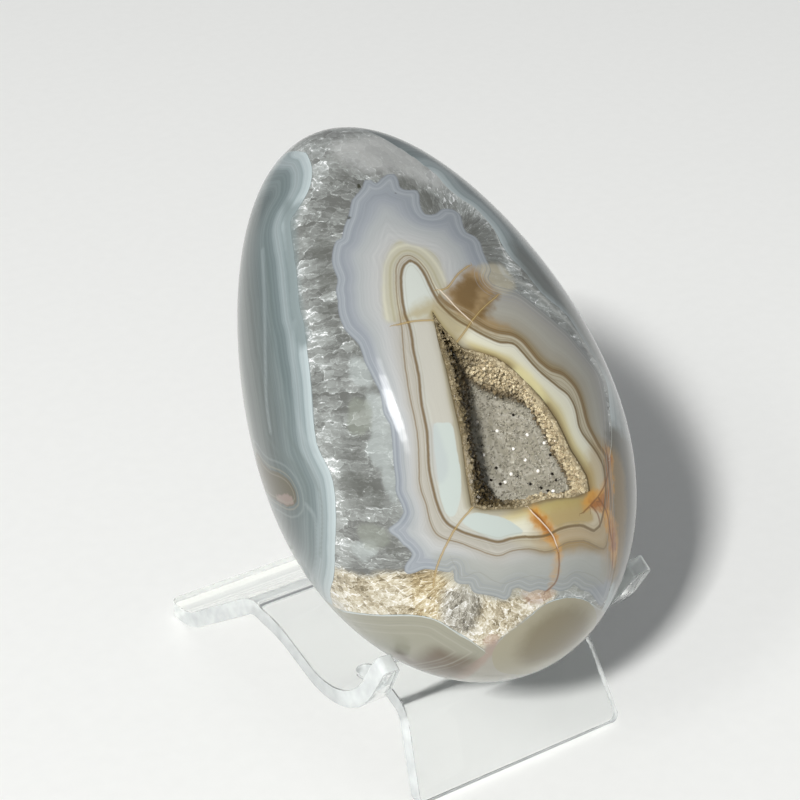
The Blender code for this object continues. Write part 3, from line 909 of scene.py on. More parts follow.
def chart(points):
    """Directions from the egg's middle laid flat around the middle of the face."""
    unit = points / EGG_AXES
    unit /= np.linalg.norm(unit, axis=1)[:, None] + TINY
    pole = FRONT / EGG_AXES
    pole /= np.linalg.norm(pole)
    right = np.cross([0, 0, 1], pole)
    right /= np.linalg.norm(right)
    up = np.cross(pole, right)
    away = np.arccos(np.clip(unit @ pole, -1, 1))
    turn = np.arctan2(unit @ up, unit @ right)
    return np.column_stack([away * np.cos(turn), away * np.sin(turn)])


def distance_along(curve, points, closed):
    """Distance in mm from every point to a curve, and how far along the curve its nearest place is."""
    ends = np.roll(curve, -1, axis=0) if closed else curve[1:]
    best = np.full(len(points), np.inf)
    along = np.zeros(len(points))
    done = 0.0
    for start, end in zip(curve, ends):
        way = end - start
        length = np.linalg.norm(way)
        if length < TINY:
            continue
        offset = points - start
        share = np.clip(offset @ way / length ** 2, 0, 1)
        gap = ((offset - share[:, None] * way) ** 2).sum(1)
        closer = gap < best
        best[closer] = gap[closer]
        along[closer] = done + share[closer] * length
        done += length
    return np.sqrt(best), along


def inside(curve, points):
    """True where a point lies inside a closed curve, by counting crossings on the chart."""
    flat = chart(points)
    ring = chart(curve)
    crossed = np.zeros(len(points), bool)
    for (x0, y0), (x1, y1) in zip(ring, np.roll(ring, -1, axis=0)):
        if y0 == y1:
            continue
        level = (flat[:, 1] > y0) != (flat[:, 1] > y1)
        crossed ^= level & (flat[:, 0] < x0 + (flat[:, 1] - y0) * (x1 - x0) / (y1 - y0))
    return crossed


def close_to(curve, points):
    return ((points > curve.min(0) - NEAR) & (points < curve.max(0) + NEAR)).all(1)


def depth_inside(curve, points, everywhere=False):
    """Positive mm inside a closed curve, negative outside. Far from the curve only the sign is kept."""
    close = close_to(curve, points) | everywhere
    depth = np.full(len(points), -NEAR)
    gap = distance_along(curve, points[close], True)[0]
    depth[close] = np.where(inside(curve, points[close]), gap, -gap)
    return depth


def line_offset(lines, points):
    """Signed mm to the side of the nearest of several open curves, and plain mm to that curve."""
    nearest = np.full(len(points), NEAR)
    signed = np.full(len(points), NEAR)
    for line in lines:
        curve = on_face(line)
        close = np.flatnonzero(close_to(curve, points))
        gap, along = distance_along(curve, points[close], False)
        reached = np.concatenate([[0], np.cumsum(np.linalg.norm(np.diff(curve, axis=0), axis=1))])
        place = np.clip(np.searchsorted(reached, along, side="right") - 1, 0, len(curve) - 2)
        turn = np.cross(curve[place + 1] - curve[place], points[close] - curve[place])
        side = np.sign((turn * points[close] / EGG_AXES ** 2).sum(1))
        closer = gap < nearest[close]
        nearest[close[closer]] = gap[closer]
        signed[close[closer]] = (gap * side)[closer]
    return signed, nearest


def share_between(outer, inner):
    """0 at the outer outline and 1 at the inner, from the depths inside both."""
    outer = np.maximum(outer, 0)
    inner = np.maximum(-inner, 0)
    return outer / np.maximum(outer + inner, TINY)


# %% [markdown]
# The comb's crystals stand square to its wall. So its pattern is drawn on places of its own: one pair of
# numbers runs around the face, one runs inwards, and squeezing the inward one makes cells long and narrow.

# %% Places along the comb
COMB_SPINE = ((474, 560), (452, 250))
COMB_RADIUS = 22.0
CHART_TO_MM = np.array([EGG_RADIUS, EGG_LENGTH / 2])
NEEDLE_SQUEEZE = 0.4
FOOT_SQUEEZE = 0.95


def comb_places(points):
    flat = chart(points) * CHART_TO_MM
    low, high = chart(on_face(COMB_SPINE))[[0, -1]] * CHART_TO_MM
    spine = high - low
    share = np.clip((flat - low) @ spine / (spine @ spine), 0, 1)[:, None]
    from_spine = flat - low - share * spine
    away = np.linalg.norm(from_spine, axis=1)[:, None]
    foot = depth_inside(on_face(PATCHES["crystal_foot"][0], True), points)[:, None] > 0
    around = share * spine + COMB_RADIUS * from_spine / (away + TINY)
    return np.hstack([around, away * np.where(foot, FOOT_SQUEEZE, NEEDLE_SQUEEZE)])


# %% Storing the pattern on the body
def store(item, name, values):
    """Keeps a number or a vector for every point of a mesh, where a finish can read it."""
    values = np.asarray(values, np.float32)
    kind, member = ("FLOAT", "value") if values.ndim == 1 else ("FLOAT_VECTOR", "vector")
    item.data.attributes.new(name, kind, "POINT").data.foreach_set(member, values.ravel())


def vertex_places(item):
    places = np.empty(len(item.data.vertices) * 3)
    item.data.vertices.foreach_get("co", places)
    return places.reshape(-1, 3)


body_places = vertex_places(body)
comb_curve = np.vstack([on_face(COMB_LEFT), [face_point(radians(a), h) for a, h in COMB_BEHIND],
                        on_face(COMB_RIGHT + COMB_FOOT)])
layer_curves = {"comb_depth": comb_curve, "lilac_depth": on_face(LILAC, True),
                "outer_depth": on_face(OUTER_LINE, True), "inner_depth": on_face(INNER_LINE, True),
                "mouth_depth": pocket_rings(POCKET_DEPTH)[0]}
field_values = {name: depth_inside(curve, body_places, everywhere=True)
                for name, curve in layer_curves.items()}
nested = [field_values[name] for name in ("lilac_depth", "outer_depth", "inner_depth", "mouth_depth")]
field_values["growth"] = sum(share_between(outer, inner) for outer, inner in zip(nested, nested[1:]))
del field_values["mouth_depth"]
for name, outlines in PATCHES.items():
    field_values[name] = np.max([depth_inside(on_face(o, True), body_places) for o in outlines], axis=0)
for name, lines in THIN_LINES.items():
    field_values[name], field_values[name + "_near"] = line_offset(lines, body_places)
for name, lines in WIDE_LINES.items():
    field_values[name] = line_offset(lines, body_places)[1]
for name, values in field_values.items():
    store(body, name, values)
store(body, "comb_place", comb_places(body_places))
print("drew", len(PATCHES), "kinds of patch on", len(body_places), "points")

# %% [markdown]
# ## Helpers for every finish
# Colours are written as the sRGB codes that a colour picker shows, and one function turns them linear, which
# is what the renderer mixes. One more function adds a node with its settings and its links, so a finish
# reads as a list of steps. Inputs are given in order or by name. A Map Range takes a value, the two numbers
# between which it is read, and the two numbers that it becomes there.

# %% Helpers for finishes
def linear(code):
    """The linear RGBA of an sRGB hex code."""
    shares = [int(code[place:place + 2], 16) / 255 for place in (1, 3, 5)]
    return [s / 12.92 if s <= 0.04045 else ((s + 0.055) / 1.055) ** 2.4 for s in shares] + [1.0]


def feed(node, links):
    """Gives a node's inputs a plain value, a socket, or the first output of another node."""
    for name, value in links.items() if isinstance(links, dict) else enumerate(links):
        if isinstance(value, bpy.types.Node):
            value = value.outputs[0]
        if isinstance(value, bpy.types.NodeSocket):
            node.id_data.links.new(value, node.inputs[name])
        else:
            node.inputs[name].default_value = value
    return node


def add(tree, kind, links=(), **settings):
    """Adds a shader node of a kind, with its settings and its links."""
    node = tree.nodes.new("ShaderNode" + kind)
    for name, value in settings.items():
        setattr(node, name, value)
    return feed(node, links)


def new_finish(name):
    """A new material, its nodes, its main shader, and the place of each point on the object."""
    material = bpy.data.materials.new(name)
    material.use_nodes = True
    tree = material.node_tree
    return material, tree, tree.nodes["Principled BSDF"], add(tree, "TexCoord").outputs["Object"]


def set_ramp(node, stops):
    """Fills a Color Ramp with (place, hex code) stops."""
    ramp = node.color_ramp
    for place, code in stops[1:-1]:
        ramp.elements.new(place)
    for element, (place, code) in zip(ramp.elements, stops):
        element.position = place
        element.color = linear(code)
    return node


def per_mm(size):
    """Texture scale of a pattern whose grains measure a size in mm, in object coordinates."""
    return 1 / (size * MM)


# %% [markdown]
# ## Polished agate
# Agate is chalcedony, fine-grained quartz, tumbled and then buffed with oxide to a gloss with an index
# near 1.54. The eye sees two things at once: a smooth sharp gloss on top, and below it a soft body in which
# layers fade into each other while crystals flash. So the finish is a rough coloured base under a clear
# coat.
#
# A few small tools draw everything: one lays a colour wherever a stored distance is above nought, one lays
# a thin vein where a signed distance runs through nought, one shades thin layers along a distance, and one
# shakes a distance, so that no edge is drawn with a ruler.

# %% Laying one colour over another
def lay(tree, under, colour, depth, soft, amount=1.0):
    """Lays a colour over what is there, wherever a depth in mm is above nought, with an edge that soft."""
    mask = add(tree, "MapRange", (depth, -soft, soft, 0.0, amount), interpolation_type="SMOOTHSTEP")
    colour = linear(colour) if isinstance(colour, str) else colour
    return add(tree, "Mix", {"Factor": mask, 6: under, 7: colour}, data_type="RGBA").outputs[2]


def vein(tree, under, colour, place, half, soft, amount, within=None):
    """Lays a line along the places where a signed distance is nought, inside a patch if one is given."""
    away = add(tree, "Math", (place,), operation="ABSOLUTE")
    depth = add(tree, "Math", (half, away), operation="SUBTRACT")
    if within:
        depth = add(tree, "Math", (depth, within), operation="MINIMUM")
    return lay(tree, under, colour, depth, soft, amount)


def banded(tree, colour, place, thickness, strength):
    """Lightens and darkens a colour in thin layers along a distance, as agate does."""
    level = add(tree, "Math", (place, thickness), operation="DIVIDE")
    layers = add(tree, "TexNoise", {"W": level, "Scale": 1.0, "Detail": 3.0, "Roughness": 0.7},
                 noise_dimensions="1D")
    gain = add(tree, "MapRange", (layers, 0.3, 0.7, 1 - strength, 1 + strength))
    return add(tree, "VectorMath", {0: colour, "Scale": gain}, operation="SCALE")


def shaken(tree, place, fine, small, broad=None, large=0.0):
    """A distance shaken by fine noise up to a few tenths of a mm, and by broad noise where that is given."""
    for source, reach in ((fine, small), (broad, large)):
        if reach:
            place = add(tree, "Math", (source, 2 * reach, place), operation="MULTIPLY_ADD")
    return add(tree, "Math", (place, small + large), operation="SUBTRACT")


# %% [markdown]
# The grey-blue outer agate runs all round the back. Its layers follow the wall of the quartz comb, so the
# distance outside the comb picks their colour, and three widths of fine layering ride on it.

# %% Outer agate
OUTER_AGATE = (
    (0.0, "#b2bdbe"), (0.035, "#aeb9ba"), (0.055, "#929fa0"), (0.085, "#9aa5a6"), (0.12, "#788586"),
    (0.16, "#6b7878"), (0.2, "#748080"), (0.25, "#5e6a6a"), (0.34, "#56605e"), (0.42, "#646c69"),
    (0.5, "#5a625f"), (0.62, "#868b85"), (0.78, "#7a8280"), (1.0, "#989c97"))
OUTER_REACH = 34.0
OUTER_LAYERS = ((2.2, 0.07), (0.8, 0.13), (0.33, 0.13))
LAYER_SHAKE = 0.05
LAYER_SWAY = 0.5


def outer_agate(tree, field, fine, broad):
    outside = add(tree, "Math", (field["comb_depth"], -1.0), operation="MULTIPLY")
    outside = shaken(tree, outside, fine, LAYER_SHAKE, broad, LAYER_SWAY)
    reach = add(tree, "Math", (outside, OUTER_REACH), operation="DIVIDE")
    colour = set_ramp(add(tree, "ValToRGB", (reach,)), OUTER_AGATE)
    for thickness, strength in OUTER_LAYERS:
        colour = banded(tree, colour, outside, thickness, strength)
    return colour


# %% [markdown]
# The comb is a row of quartz crystals that grew inwards side by side. Polishing cut across them, so each
# shows as a long narrow cell, brighter or darker by how it catches light, with white fractures between.
# The slope of light across each cell is painted shade, and the bright specks are painted glints.
# The real needles are down to 0.2 mm wide, too fine for this view, so the narrowest here is 0.4 mm.

# %% Comb of quartz
QUARTZ = ((0.0, "#6b6c68"), (0.2, "#7c7e7a"), (0.4, "#90938f"), (0.6, "#a2a6a2"), (0.78, "#b8bcb9"),
          (0.92, "#d6dbd9"), (1.0, "#ffffff"))
FOOT_QUARTZ = ((0.0, "#72664a"), (0.2, "#a09376"), (0.4, "#c9bea3"), (0.58, "#e2dbc7"), (0.74, "#f9f4e8"),
               (1.0, "#ffffff"))
GOLDEN_QUARTZ = ((0.0, "#5f4c28"), (0.25, "#957c49"), (0.5, "#bda873"), (0.75, "#e6d8b2"), (1.0, "#ffffff"))
GREY_QUARTZ = ((0.0, "#3b3933"), (0.25, "#706d64"), (0.5, "#9d9a8f"), (0.75, "#cfccc2"), (1.0, "#ffffff"))
CRYSTAL_KINDS = (
    ("smoky_crystals", "#5d5e58", 0.6, 0.5, 0.5), ("milky_crystals", "#c3cbc8", 0.8, 0.6, 0.45),
    ("pale_crown", "#c6c7c4", 1.3, 2.2, 0.65), ("green_crystals", "#8f9488", 0.5, 0.5, 0.6),
    ("crystal_foot", FOOT_QUARTZ, 0.7, 0.8, 1.0), ("golden_foot", GOLDEN_QUARTZ, 0.9, 1.1, 0.65),
    ("grey_foot", GREY_QUARTZ, 0.9, 1.0, 0.8), ("pink_foot", "#b3917f", 0.4, 0.4, 0.5))
CELLS = ((2.2, 0.26, 0.5), (0.95, 0.22, 0.34))
CELL_SHAKE = 1.15
FRACTURES = ((2.2, 2.0), (0.95, 1.1))
FRACTURE_HALF = 0.09
SPLINTER_WIDTH = 0.5
SPLINTER_SHARE = 0.24
GLINT_WIDTH = 0.55
GLINT_LIGHT = 0.75
NEAR_WALL_LIGHT = 0.18
FAR_FROM_WALL_LIGHT = -0.15


def quartz_light(tree, field, fine, broad):
    """How bright each crystal looks, from 0 to 1, and how its inner facets are tilted."""
    shake = add(tree, "VectorMath", {0: fine.outputs["Color"], "Scale": CELL_SHAKE}, operation="SCALE")
    place = add(tree, "VectorMath", (field["comb_place"], shake), operation="ADD")
    light = add(tree, "MapRange", (broad, 0.3, 0.7, -0.1, 0.2))
    tilt = None
    for width, grey_share, slope_share in CELLS:
        cells = add(tree, "TexVoronoi", {"Vector": place, "Scale": 1 / width})
        own, middle = cells.outputs["Color"], cells.outputs["Position"]
        grey = add(tree, "SeparateColor", (own,))
        offset = add(tree, "VectorMath", (place, middle), operation="SUBTRACT")
        facet = add(tree, "VectorMath", (own, (0.5, 0.5, 0.5)), operation="SUBTRACT")
        slope = add(tree, "VectorMath", (offset, facet), operation="DOT_PRODUCT").outputs["Value"]
        # The slope term is painted shade across each facet.
        for brightness, share in ((slope, slope_share / width), (grey, grey_share)):
            light = add(tree, "Math", (brightness, share, light), operation="MULTIPLY_ADD")
        tilt = tilt or facet
    splinters = add(tree, "TexNoise", {"Vector": place, "Scale": 1 / SPLINTER_WIDTH, "Detail": 3.0,
                                       "Roughness": 0.75})
    splinters = add(tree, "MapRange", (splinters, 0.35, 0.65, 0.0, SPLINTER_SHARE))
    light = add(tree, "Math", (light, splinters), operation="ADD")
    for width, strength in FRACTURES:
        edge = add(tree, "TexVoronoi", {"Vector": place, "Scale": 1 / width}, feature="DISTANCE_TO_EDGE")
        crack = add(tree, "MapRange", (edge, 0.0, FRACTURE_HALF / width, strength, 0.0))
        light = add(tree, "Math", (crack, splinters, light), operation="MULTIPLY_ADD")
    # Painted glints: a few small cells made near-white.
    specks = add(tree, "TexVoronoi", {"Vector": place, "Scale": 1 / GLINT_WIDTH})
    chance = add(tree, "SeparateColor", (specks.outputs["Color"],)).outputs["Green"]
    glint = add(tree, "MapRange", (chance, 0.9, 0.98, 0.0, GLINT_LIGHT))
    small = add(tree, "MapRange", (specks, 0.12, 0.4, 1.0, 0.0))
    return add(tree, "Math", (glint, small, light), operation="MULTIPLY_ADD"), tilt


def comb_quartz(tree, field, fine, broad, light):
    """Clear, smoky, milky and greenish crystals above, and cream ones stained gold at the foot."""
    glow = add(tree, "MapRange", (field["comb_depth"], 0.3, 5.0, NEAR_WALL_LIGHT, FAR_FROM_WALL_LIGHT))
    bright = add(tree, "Math", (light, glow), operation="ADD")
    quartz = set_ramp(add(tree, "ValToRGB", (bright,)), QUARTZ)
    for name, colour, shake, soft, amount in CRYSTAL_KINDS:
        if not isinstance(colour, str):
            colour = set_ramp(add(tree, "ValToRGB", (light,)), colour)
        depth = shaken(tree, field[name], fine, shake, broad, shake)
        quartz = lay(tree, quartz, colour, depth, soft, amount)
    return quartz


# %% [markdown]
# Inside the comb lie nested layers: a lilac rim that copies the crystal tips, milky mauve, a beige stripe
# between two brown veins, and white. A growth value runs from nought at the rim to three at the pocket, so
# the layers stay nested whatever the width. The right side is stained warm by iron.

# %% Inner agate
COOL_LAYERS = (
    (0.0, "#8e9499"), (0.025, "#9ba1a5"), (0.05, "#8f959b"), (0.085, "#9a9fa4"), (0.13, "#a8acac"),
    (0.22, "#b6b7b5"), (0.3, "#b0aea7"), (0.345, "#a8a498"), (0.42, "#b6b2a7"), (0.52, "#aeaa9e"),
    (0.62, "#b6b3a8"), (0.69, "#b9b8ae"), (0.75, "#c0bfb4"), (0.9, "#c3c1b4"), (0.965, "#a59f8a"),
    (1.0, "#7d745c"))
WARM_LAYERS = (
    (0.0, "#90918a"), (0.06, "#a19f98"), (0.18, "#a8a69b"), (0.27, "#a09a8a"), (0.32, "#88764f"),
    (0.37, "#a89e82"), (0.46, "#bdb6a0"), (0.56, "#b3ab94"), (0.66, "#c8c3ab"), (0.72, "#dbd9c8"),
    (0.83, "#dcd9c1"), (0.91, "#c9bd90"), (0.955, "#ab9c6f"), (1.0, "#7d6b49"))
GROWTH_END = 3.0
SIDE_SOFTNESS = 1.2


def inner_agate(tree, field, fine, broad, rim):
    level = add(tree, "Math", (field["growth"], GROWTH_END), operation="DIVIDE")
    cool, warm = [set_ramp(add(tree, "ValToRGB", (level,)), stops)
                  for stops in (COOL_LAYERS, WARM_LAYERS)]
    cool = banded(tree, cool, rim, 0.45, 0.035)
    layers = lay(tree, cool, warm, shaken(tree, field["warm_side"], fine, 0.1, broad, 0.3), SIDE_SOFTNESS)
    return banded(tree, layers, field["growth"], 0.08, 0.03)


# %% [markdown]
# On top of the layers come the stains and then the veins. A stain's row says how far noise shakes its edge,
# how soft that edge is, both in mm, and how strongly it covers. A vein's row says at which distance from
# its outline it runs, its colour, half its width and how soft it is, in mm, and how strongly it covers.

# %% Stains and veins
STAINS = (
    ("cream_halo", "#bab699", 0.4, 0.8, 0.6), ("arch_core", "#c9cec6", 0.15, 0.25, 0.9),
    ("pale_upright", "#bcb9ae", 0.1, 0.3, 0.7), ("white_lens", "#c1cac4", 0.08, 0.12, 0.95),
    ("mauve_shade", "#a6abb1", 0.2, 0.5, 0.3), ("teal_by_wall", "#7a8787", 0.3, 0.8, 0.75),
    ("ochre", "#a3925f", 0.8, 1.2, 0.65), ("golden", "#a0855a", 1.1, 1.2, 0.9),
    ("cream_corner", "#b7b09a", 0.8, 0.9, 0.8), ("smoke", "#63491f", 1.1, 1.2, 0.75),
    ("dark_dots", "#2c2c16", 0.0, 0.12, 0.9), ("yellow_green", "#e6dda8", 0.5, 0.9, 0.8),
    # The two grey and olive patches in the next row are partly painted shade on the right side.
    ("shoulder_tone_and_shade", "#5b5c53", 0.9, 2.2, 0.75), ("olive_margin_and_shade", "#463e22", 0.9, 1.4, 0.9),
    ("olive", "#b3a366", 0.3, 0.4, 0.8), ("rust_halo", "#a68752", 0.9, 1.3, 0.5),
    ("rust", "#d39a42", 1.1, 0.8, 0.9), ("deep_rust", "#9c5a18", 1.1, 0.7, 0.85),
    ("grey_bottom", "#9b9d93", 0.2, 1.0, 0.6), ("under_foot", "#a5a193", 0.3, 0.8, 1.0),
    ("rosy_foot", "#a58a7c", 0.6, 0.5, 0.6), ("lens", "#9c9a88", 0.15, 0.08, 1.0),
    # Next row: the lens, then a darker brown at its bottom.
    ("lens_dark_bottom", "#5f4c33", 0.3, 1.8, 0.9), ("oval", "#a19b83", 0.1, 0.07, 1.0),
    ("oval_heart", "#7d7256", 0.5, 1.8, 0.85), ("pocket_mark", "#5b5542", 0.5, 0.2, 1.0),
    ("pocket_pink", "#8f7c72", 0.6, 0.25, 0.9))
VEINS = (
    ("outer_depth", 0.0, "#85745a", 0.1, 0.1, 0.85), ("outer_depth", 0.32, "#958a74", 0.03, 0.07, 0.6),
    ("outer_depth", -0.4, "#9b968b", 0.04, 0.12, 0.45), ("inner_depth", 0.0, "#6f5a38", 0.22, 0.16, 0.9),
    ("inner_depth", -0.5, "#94866b", 0.04, 0.09, 0.6), ("inner_depth", 0.62, "#9b9480", 0.05, 0.12, 0.4),
    ("lilac_depth", 0.0, "#7f858d", 0.07, 0.08, 0.6), ("lilac_depth", 0.3, "#abb0b3", 0.05, 0.08, 0.5),
    ("lilac_depth", 0.6, "#858b95", 0.06, 0.1, 0.6), ("lilac_depth", 1.05, "#b3b8bb", 0.06, 0.12, 0.5),
    ("lilac_depth", 1.5, "#8b9099", 0.05, 0.1, 0.5), ("lilac_depth", 2.2, "#a3a7aa", 0.05, 0.1, 0.4),
    ("rust_line", 0.0, "#74430f", 0.13, 0.16, 0.8), ("gold_crack", 0.0, "#93753d", 0.16, 0.12, 0.8),
    ("gold_crack", 0.0, "#cfbf8f", 0.04, 0.06, 0.7), ("bright_crack", 0.0, "#f3e3cd", 0.08, 0.09, 0.9),
    ("white_seam", 0.0, "#d8dbd4", 0.07, 0.08, 0.75), ("lens_stripe", 0.0, "#8b897d", 0.06, 0.1, 0.6),
    ("lens", 1.1, "#8d8b7e", 0.06, 0.14, 0.5), ("lens", 1.9, "#b6b4a7", 0.1, 0.2, 0.45),
    ("lens", 2.9, "#8e8b7c", 0.06, 0.2, 0.45), ("lens", 3.6, "#b3b0a2", 0.08, 0.25, 0.4),
    ("foot_vein", 0.0, "#8d8b83", 0.05, 0.08, 0.6), ("pocket_mark", 0.0, "#5f5746", 0.12, 0.12, 0.8),
    ("pocket_mark", -0.6, "#8a8878", 0.12, 0.15, 0.6), ("pocket_mark", -1.15, "#5f6a69", 0.1, 0.2, 0.35),
    ("pocket_mark", -1.8, "#98a3a2", 0.14, 0.25, 0.35), ("pocket_mark", -2.5, "#64706f", 0.1, 0.2, 0.3),
    ("pocket_mark", 0.5, "#8d8a7b", 0.1, 0.15, 0.5))
BOLD_VEINS = (
    ("outer_depth", 0.0, "#7b6238", 0.32, 0.22, 0.9), ("outer_depth", -0.75, "#a0947a", 0.08, 0.15, 0.6),
    ("outer_depth", 0.85, "#8d7c58", 0.08, 0.12, 0.7), ("outer_depth", 1.5, "#9a8c6c", 0.05, 0.12, 0.6),
    ("inner_depth", -0.4, "#857350", 0.07, 0.1, 0.7))
ARCH_VEINS = (
    ("outer_depth", -0.9, "#a39d7f", 0.14, 0.2, 0.65), ("outer_depth", -1.9, "#d0cdb8", 0.2, 0.25, 0.6),
    ("outer_depth", -2.6, "#aaa68b", 0.12, 0.2, 0.55), ("inner_depth", -0.7, "#cdc9b0", 0.12, 0.15, 0.7))
WIDE_BANDS = (
    ("teal_band", "#66726f", 0.3, 0.4, 0.5), ("pale_band", "#a2adae", 0.35, 0.45, 0.45),
    ("sparkle_ridge", "#c2c4be", 0.35, 0.4, 0.65))
BAND_SHAKE = 0.08
VEIN_SHAKE = 0.05
LINE_END = 1.0


def stained_and_veined(tree, colour, field, fine):
    for name, code, shake, soft, amount in STAINS:
        colour = lay(tree, colour, code, shaken(tree, field[name], fine, shake), soft, amount)
    for name, code, half, soft, amount in WIDE_BANDS:
        away = shaken(tree, field[name], fine, BAND_SHAKE)
        depth = add(tree, "Math", (half, away), operation="SUBTRACT")
        colour = lay(tree, colour, code, depth, soft, amount)
    for rows, patch in ((ARCH_VEINS, "cream_halo"), (BOLD_VEINS, "right_veins"), (VEINS, None)):
        for name, offset, code, half, soft, amount in rows:
            place = shaken(tree, field[name], fine, VEIN_SHAKE)
            place = add(tree, "Math", (place, offset), operation="SUBTRACT")
            within = field.get(patch)
            if name + "_near" in field:
                within = add(tree, "Math", (LINE_END, field[name + "_near"]), operation="SUBTRACT")
            colour = vein(tree, colour, code, place, half, soft, amount, within)
    return colour


# %% [markdown]
# The codes above are what the lit stone shows, and a lit surface shows more than it reflects when lamp, sky
# and floor all reach it. One factor over the finished colour brings the whole pattern down to the stone's
# own reflectance.

# %% Polished agate
OWN_REFLECTANCE = 0.72
FINE_NOISE = 1.3
BROAD_NOISE = 7.0
COMB_EDGE = 0.07
RIM_EDGE = 0.08
SEAM_HALF = 0.05
FACET_TILT = 0.3
AGATE_INDEX = 1.54


def polished_agate(names):
    material, tree, skin, where = new_finish("polished_agate")
    fine = add(tree, "TexNoise", {"Vector": where, "Scale": per_mm(FINE_NOISE), "Detail": 3.0})
    broad = add(tree, "TexNoise", {"Vector": where, "Scale": per_mm(BROAD_NOISE), "Detail": 2.0})
    field = {name: add(tree, "Attribute", attribute_name=name).outputs["Fac"] for name in names}
    field["comb_place"] = add(tree, "Attribute", attribute_name="comb_place").outputs["Vector"]

    colour = outer_agate(tree, field, fine, broad)
    light, tilt = quartz_light(tree, field, fine, broad)
    comb = shaken(tree, field["comb_depth"], fine, 0.1)
    colour = lay(tree, colour, comb_quartz(tree, field, fine, broad, light), comb, COMB_EDGE)
    colour = vein(tree, colour, "#59625f", comb, SEAM_HALF, COMB_EDGE, 0.6)
    rim = shaken(tree, field["lilac_depth"], fine, 0.06)
    colour = lay(tree, colour, inner_agate(tree, field, fine, broad, rim), rim, RIM_EDGE)
    colour = stained_and_veined(tree, colour, field, fine)
    colour = add(tree, "VectorMath", {0: colour, "Scale": OWN_REFLECTANCE}, operation="SCALE")

    crystal = add(tree, "MapRange", (field["comb_depth"], 0.0, 0.2, 0.0, FACET_TILT))
    smooth = add(tree, "MapRange", (rim, -0.1, 0.1, 1.0, 0.0))
    glitter = add(tree, "Math", (crystal, smooth), operation="MULTIPLY")
    tip = add(tree, "VectorMath", {0: tilt, "Scale": glitter}, operation="SCALE")
    plain_normal = add(tree, "NewGeometry").outputs["Normal"]
    turned = add(tree, "VectorMath", (plain_normal, tip), operation="ADD")
    turned = add(tree, "VectorMath", (turned,), operation="NORMALIZE")
    feed(skin, {"Base Color": colour, "Normal": turned, "Roughness": 0.32, "IOR": AGATE_INDEX,
                "Specular IOR Level": 0.2, "Coat Normal": plain_normal, "Coat Weight": 0.75,
                "Coat Roughness": 0.07, "Coat IOR": AGATE_INDEX})
    return material


agate = polished_agate(field_values)
print("polished agate:", len(agate.node_tree.nodes), "nodes")

# %% [markdown]
# ## Druzy quartz
# Druse is a skin of quartz crystals grown free into the hollow. Each face is a natural mirror, so the finish
# is clear and smooth and the glitter comes from the shapes. The stone behind shows through as colour:
# sugar-grey at the back and gold up the sides where iron seeped in. The gold is lit on the right, and on the
# left the same crust is drawn dark olive, which is painted shade; the foot of each wall is darkened by
# painted shade too. A few crystals are near-white, partly milky quartz and partly a painted glint, and some
# grains are black goethite.

# %% Bright crystals and black grains, in picture points
# The near-white of these crystals is partly milky quartz and partly a painted glint.
BRIGHT_CRYSTALS = ((477, 422), (532, 411), (527, 435), (484, 455), (525, 460), (544, 443), (505, 482),
                   (553, 491), (513, 449), (511, 474), (491, 501), (497, 431), (538, 471))
BLACK_GRAINS = ((482, 446), (476, 463), (496, 468), (517, 476), (491, 480), (484, 485), (500, 484),
                (530, 484), (550, 455), (513, 415), (552, 474), (563, 493), (548, 491), (578, 476),
                (556, 480), (541, 488))
BRIGHT_GIRTH = 0.26
BLACK_GIRTH = 0.24
GRAIN_LENGTH_SHARE = 0.6
TURN_TO_EYE = 0.5


def standing_at(pixels, girth, dice):
    """Larger crystals where the eye meets the wall through the given picture points."""
    tree = BVHTree.FromObject(crust, bpy.context.evaluated_depsgraph_get())
    length = girth * GRAIN_LENGTH_SHARE
    shapes = []
    for way in picture_rays(pixels):
        place, normal = tree.ray_cast(Vector(EYE), Vector(way))[:2]
        if place is None:
            continue
        shape, skin = hexagonal_point(girth, length, length)
        turn = upright_frame(np.array(normal) - way * TURN_TO_EYE, dice.uniform(0, pi))
        shapes.append((shape @ turn.T + np.array(place), skin))
    points, faces = joined_shapes(shapes)
    return under_face(points, CRYSTAL_DROP), faces


# %% Joining the crust
# Left of this middle the wall takes the dark olive of painted shade, right of it the lit gold.
LIT_SIDE_MIDDLE = float(np.mean(rings[2][:, 0]))
LIT_SIDE_REACH = 7.0


def store_on_crystals(item, rise, tint, dice):
    """Rise on the wall, the side across it that picks lit gold or painted-shade olive, tint from -1 black to
    1 bright, and a grey for each crystal.
    """
    count = len(item.data.vertices)
    shade = np.repeat(dice.random(count // CRYSTAL_POINTS + 1), CRYSTAL_POINTS)[:count]
    lit_side = (vertex_places(item)[:, 0] - LIT_SIDE_MIDDLE) / LIT_SIDE_REACH
    for name, values in (("rise", rise), ("lit_side", lit_side), ("tint", tint), ("shade", shade)):
        store(item, name, np.zeros(count) + values)


dice = np.random.default_rng(CRYSTAL_SEED + 1)
store_on_crystals(crust, crust_rise, 0, dice)
store_on_crystals(crystals, crystal_level, 0, dice)
joined = [crust, crystals]
for name, pixels, girth, tint in (("bright_crystals", BRIGHT_CRYSTALS, BRIGHT_GIRTH, 1.0),
                                  ("black_grains", BLACK_GRAINS, BLACK_GIRTH, -1.0)):
    item = mesh_object(name, *standing_at(pixels, girth, dice), smooth=False)
    store_on_crystals(item, 0, tint, dice)
    joined.append(item)
with bpy.context.temp_override(active_object=crust, object=crust, selected_editable_objects=joined,
                               selected_objects=joined):
    bpy.ops.object.join()
print("joined crust", len(crust.data.polygons), "faces")

# %% Druzy quartz
BACK_COLOURS = ((0.0, "#7c776a"), (0.35, "#8f8b7c"), (0.65, "#9c988b"), (0.9, "#b1ada0"), (1.0, "#dddad0"))
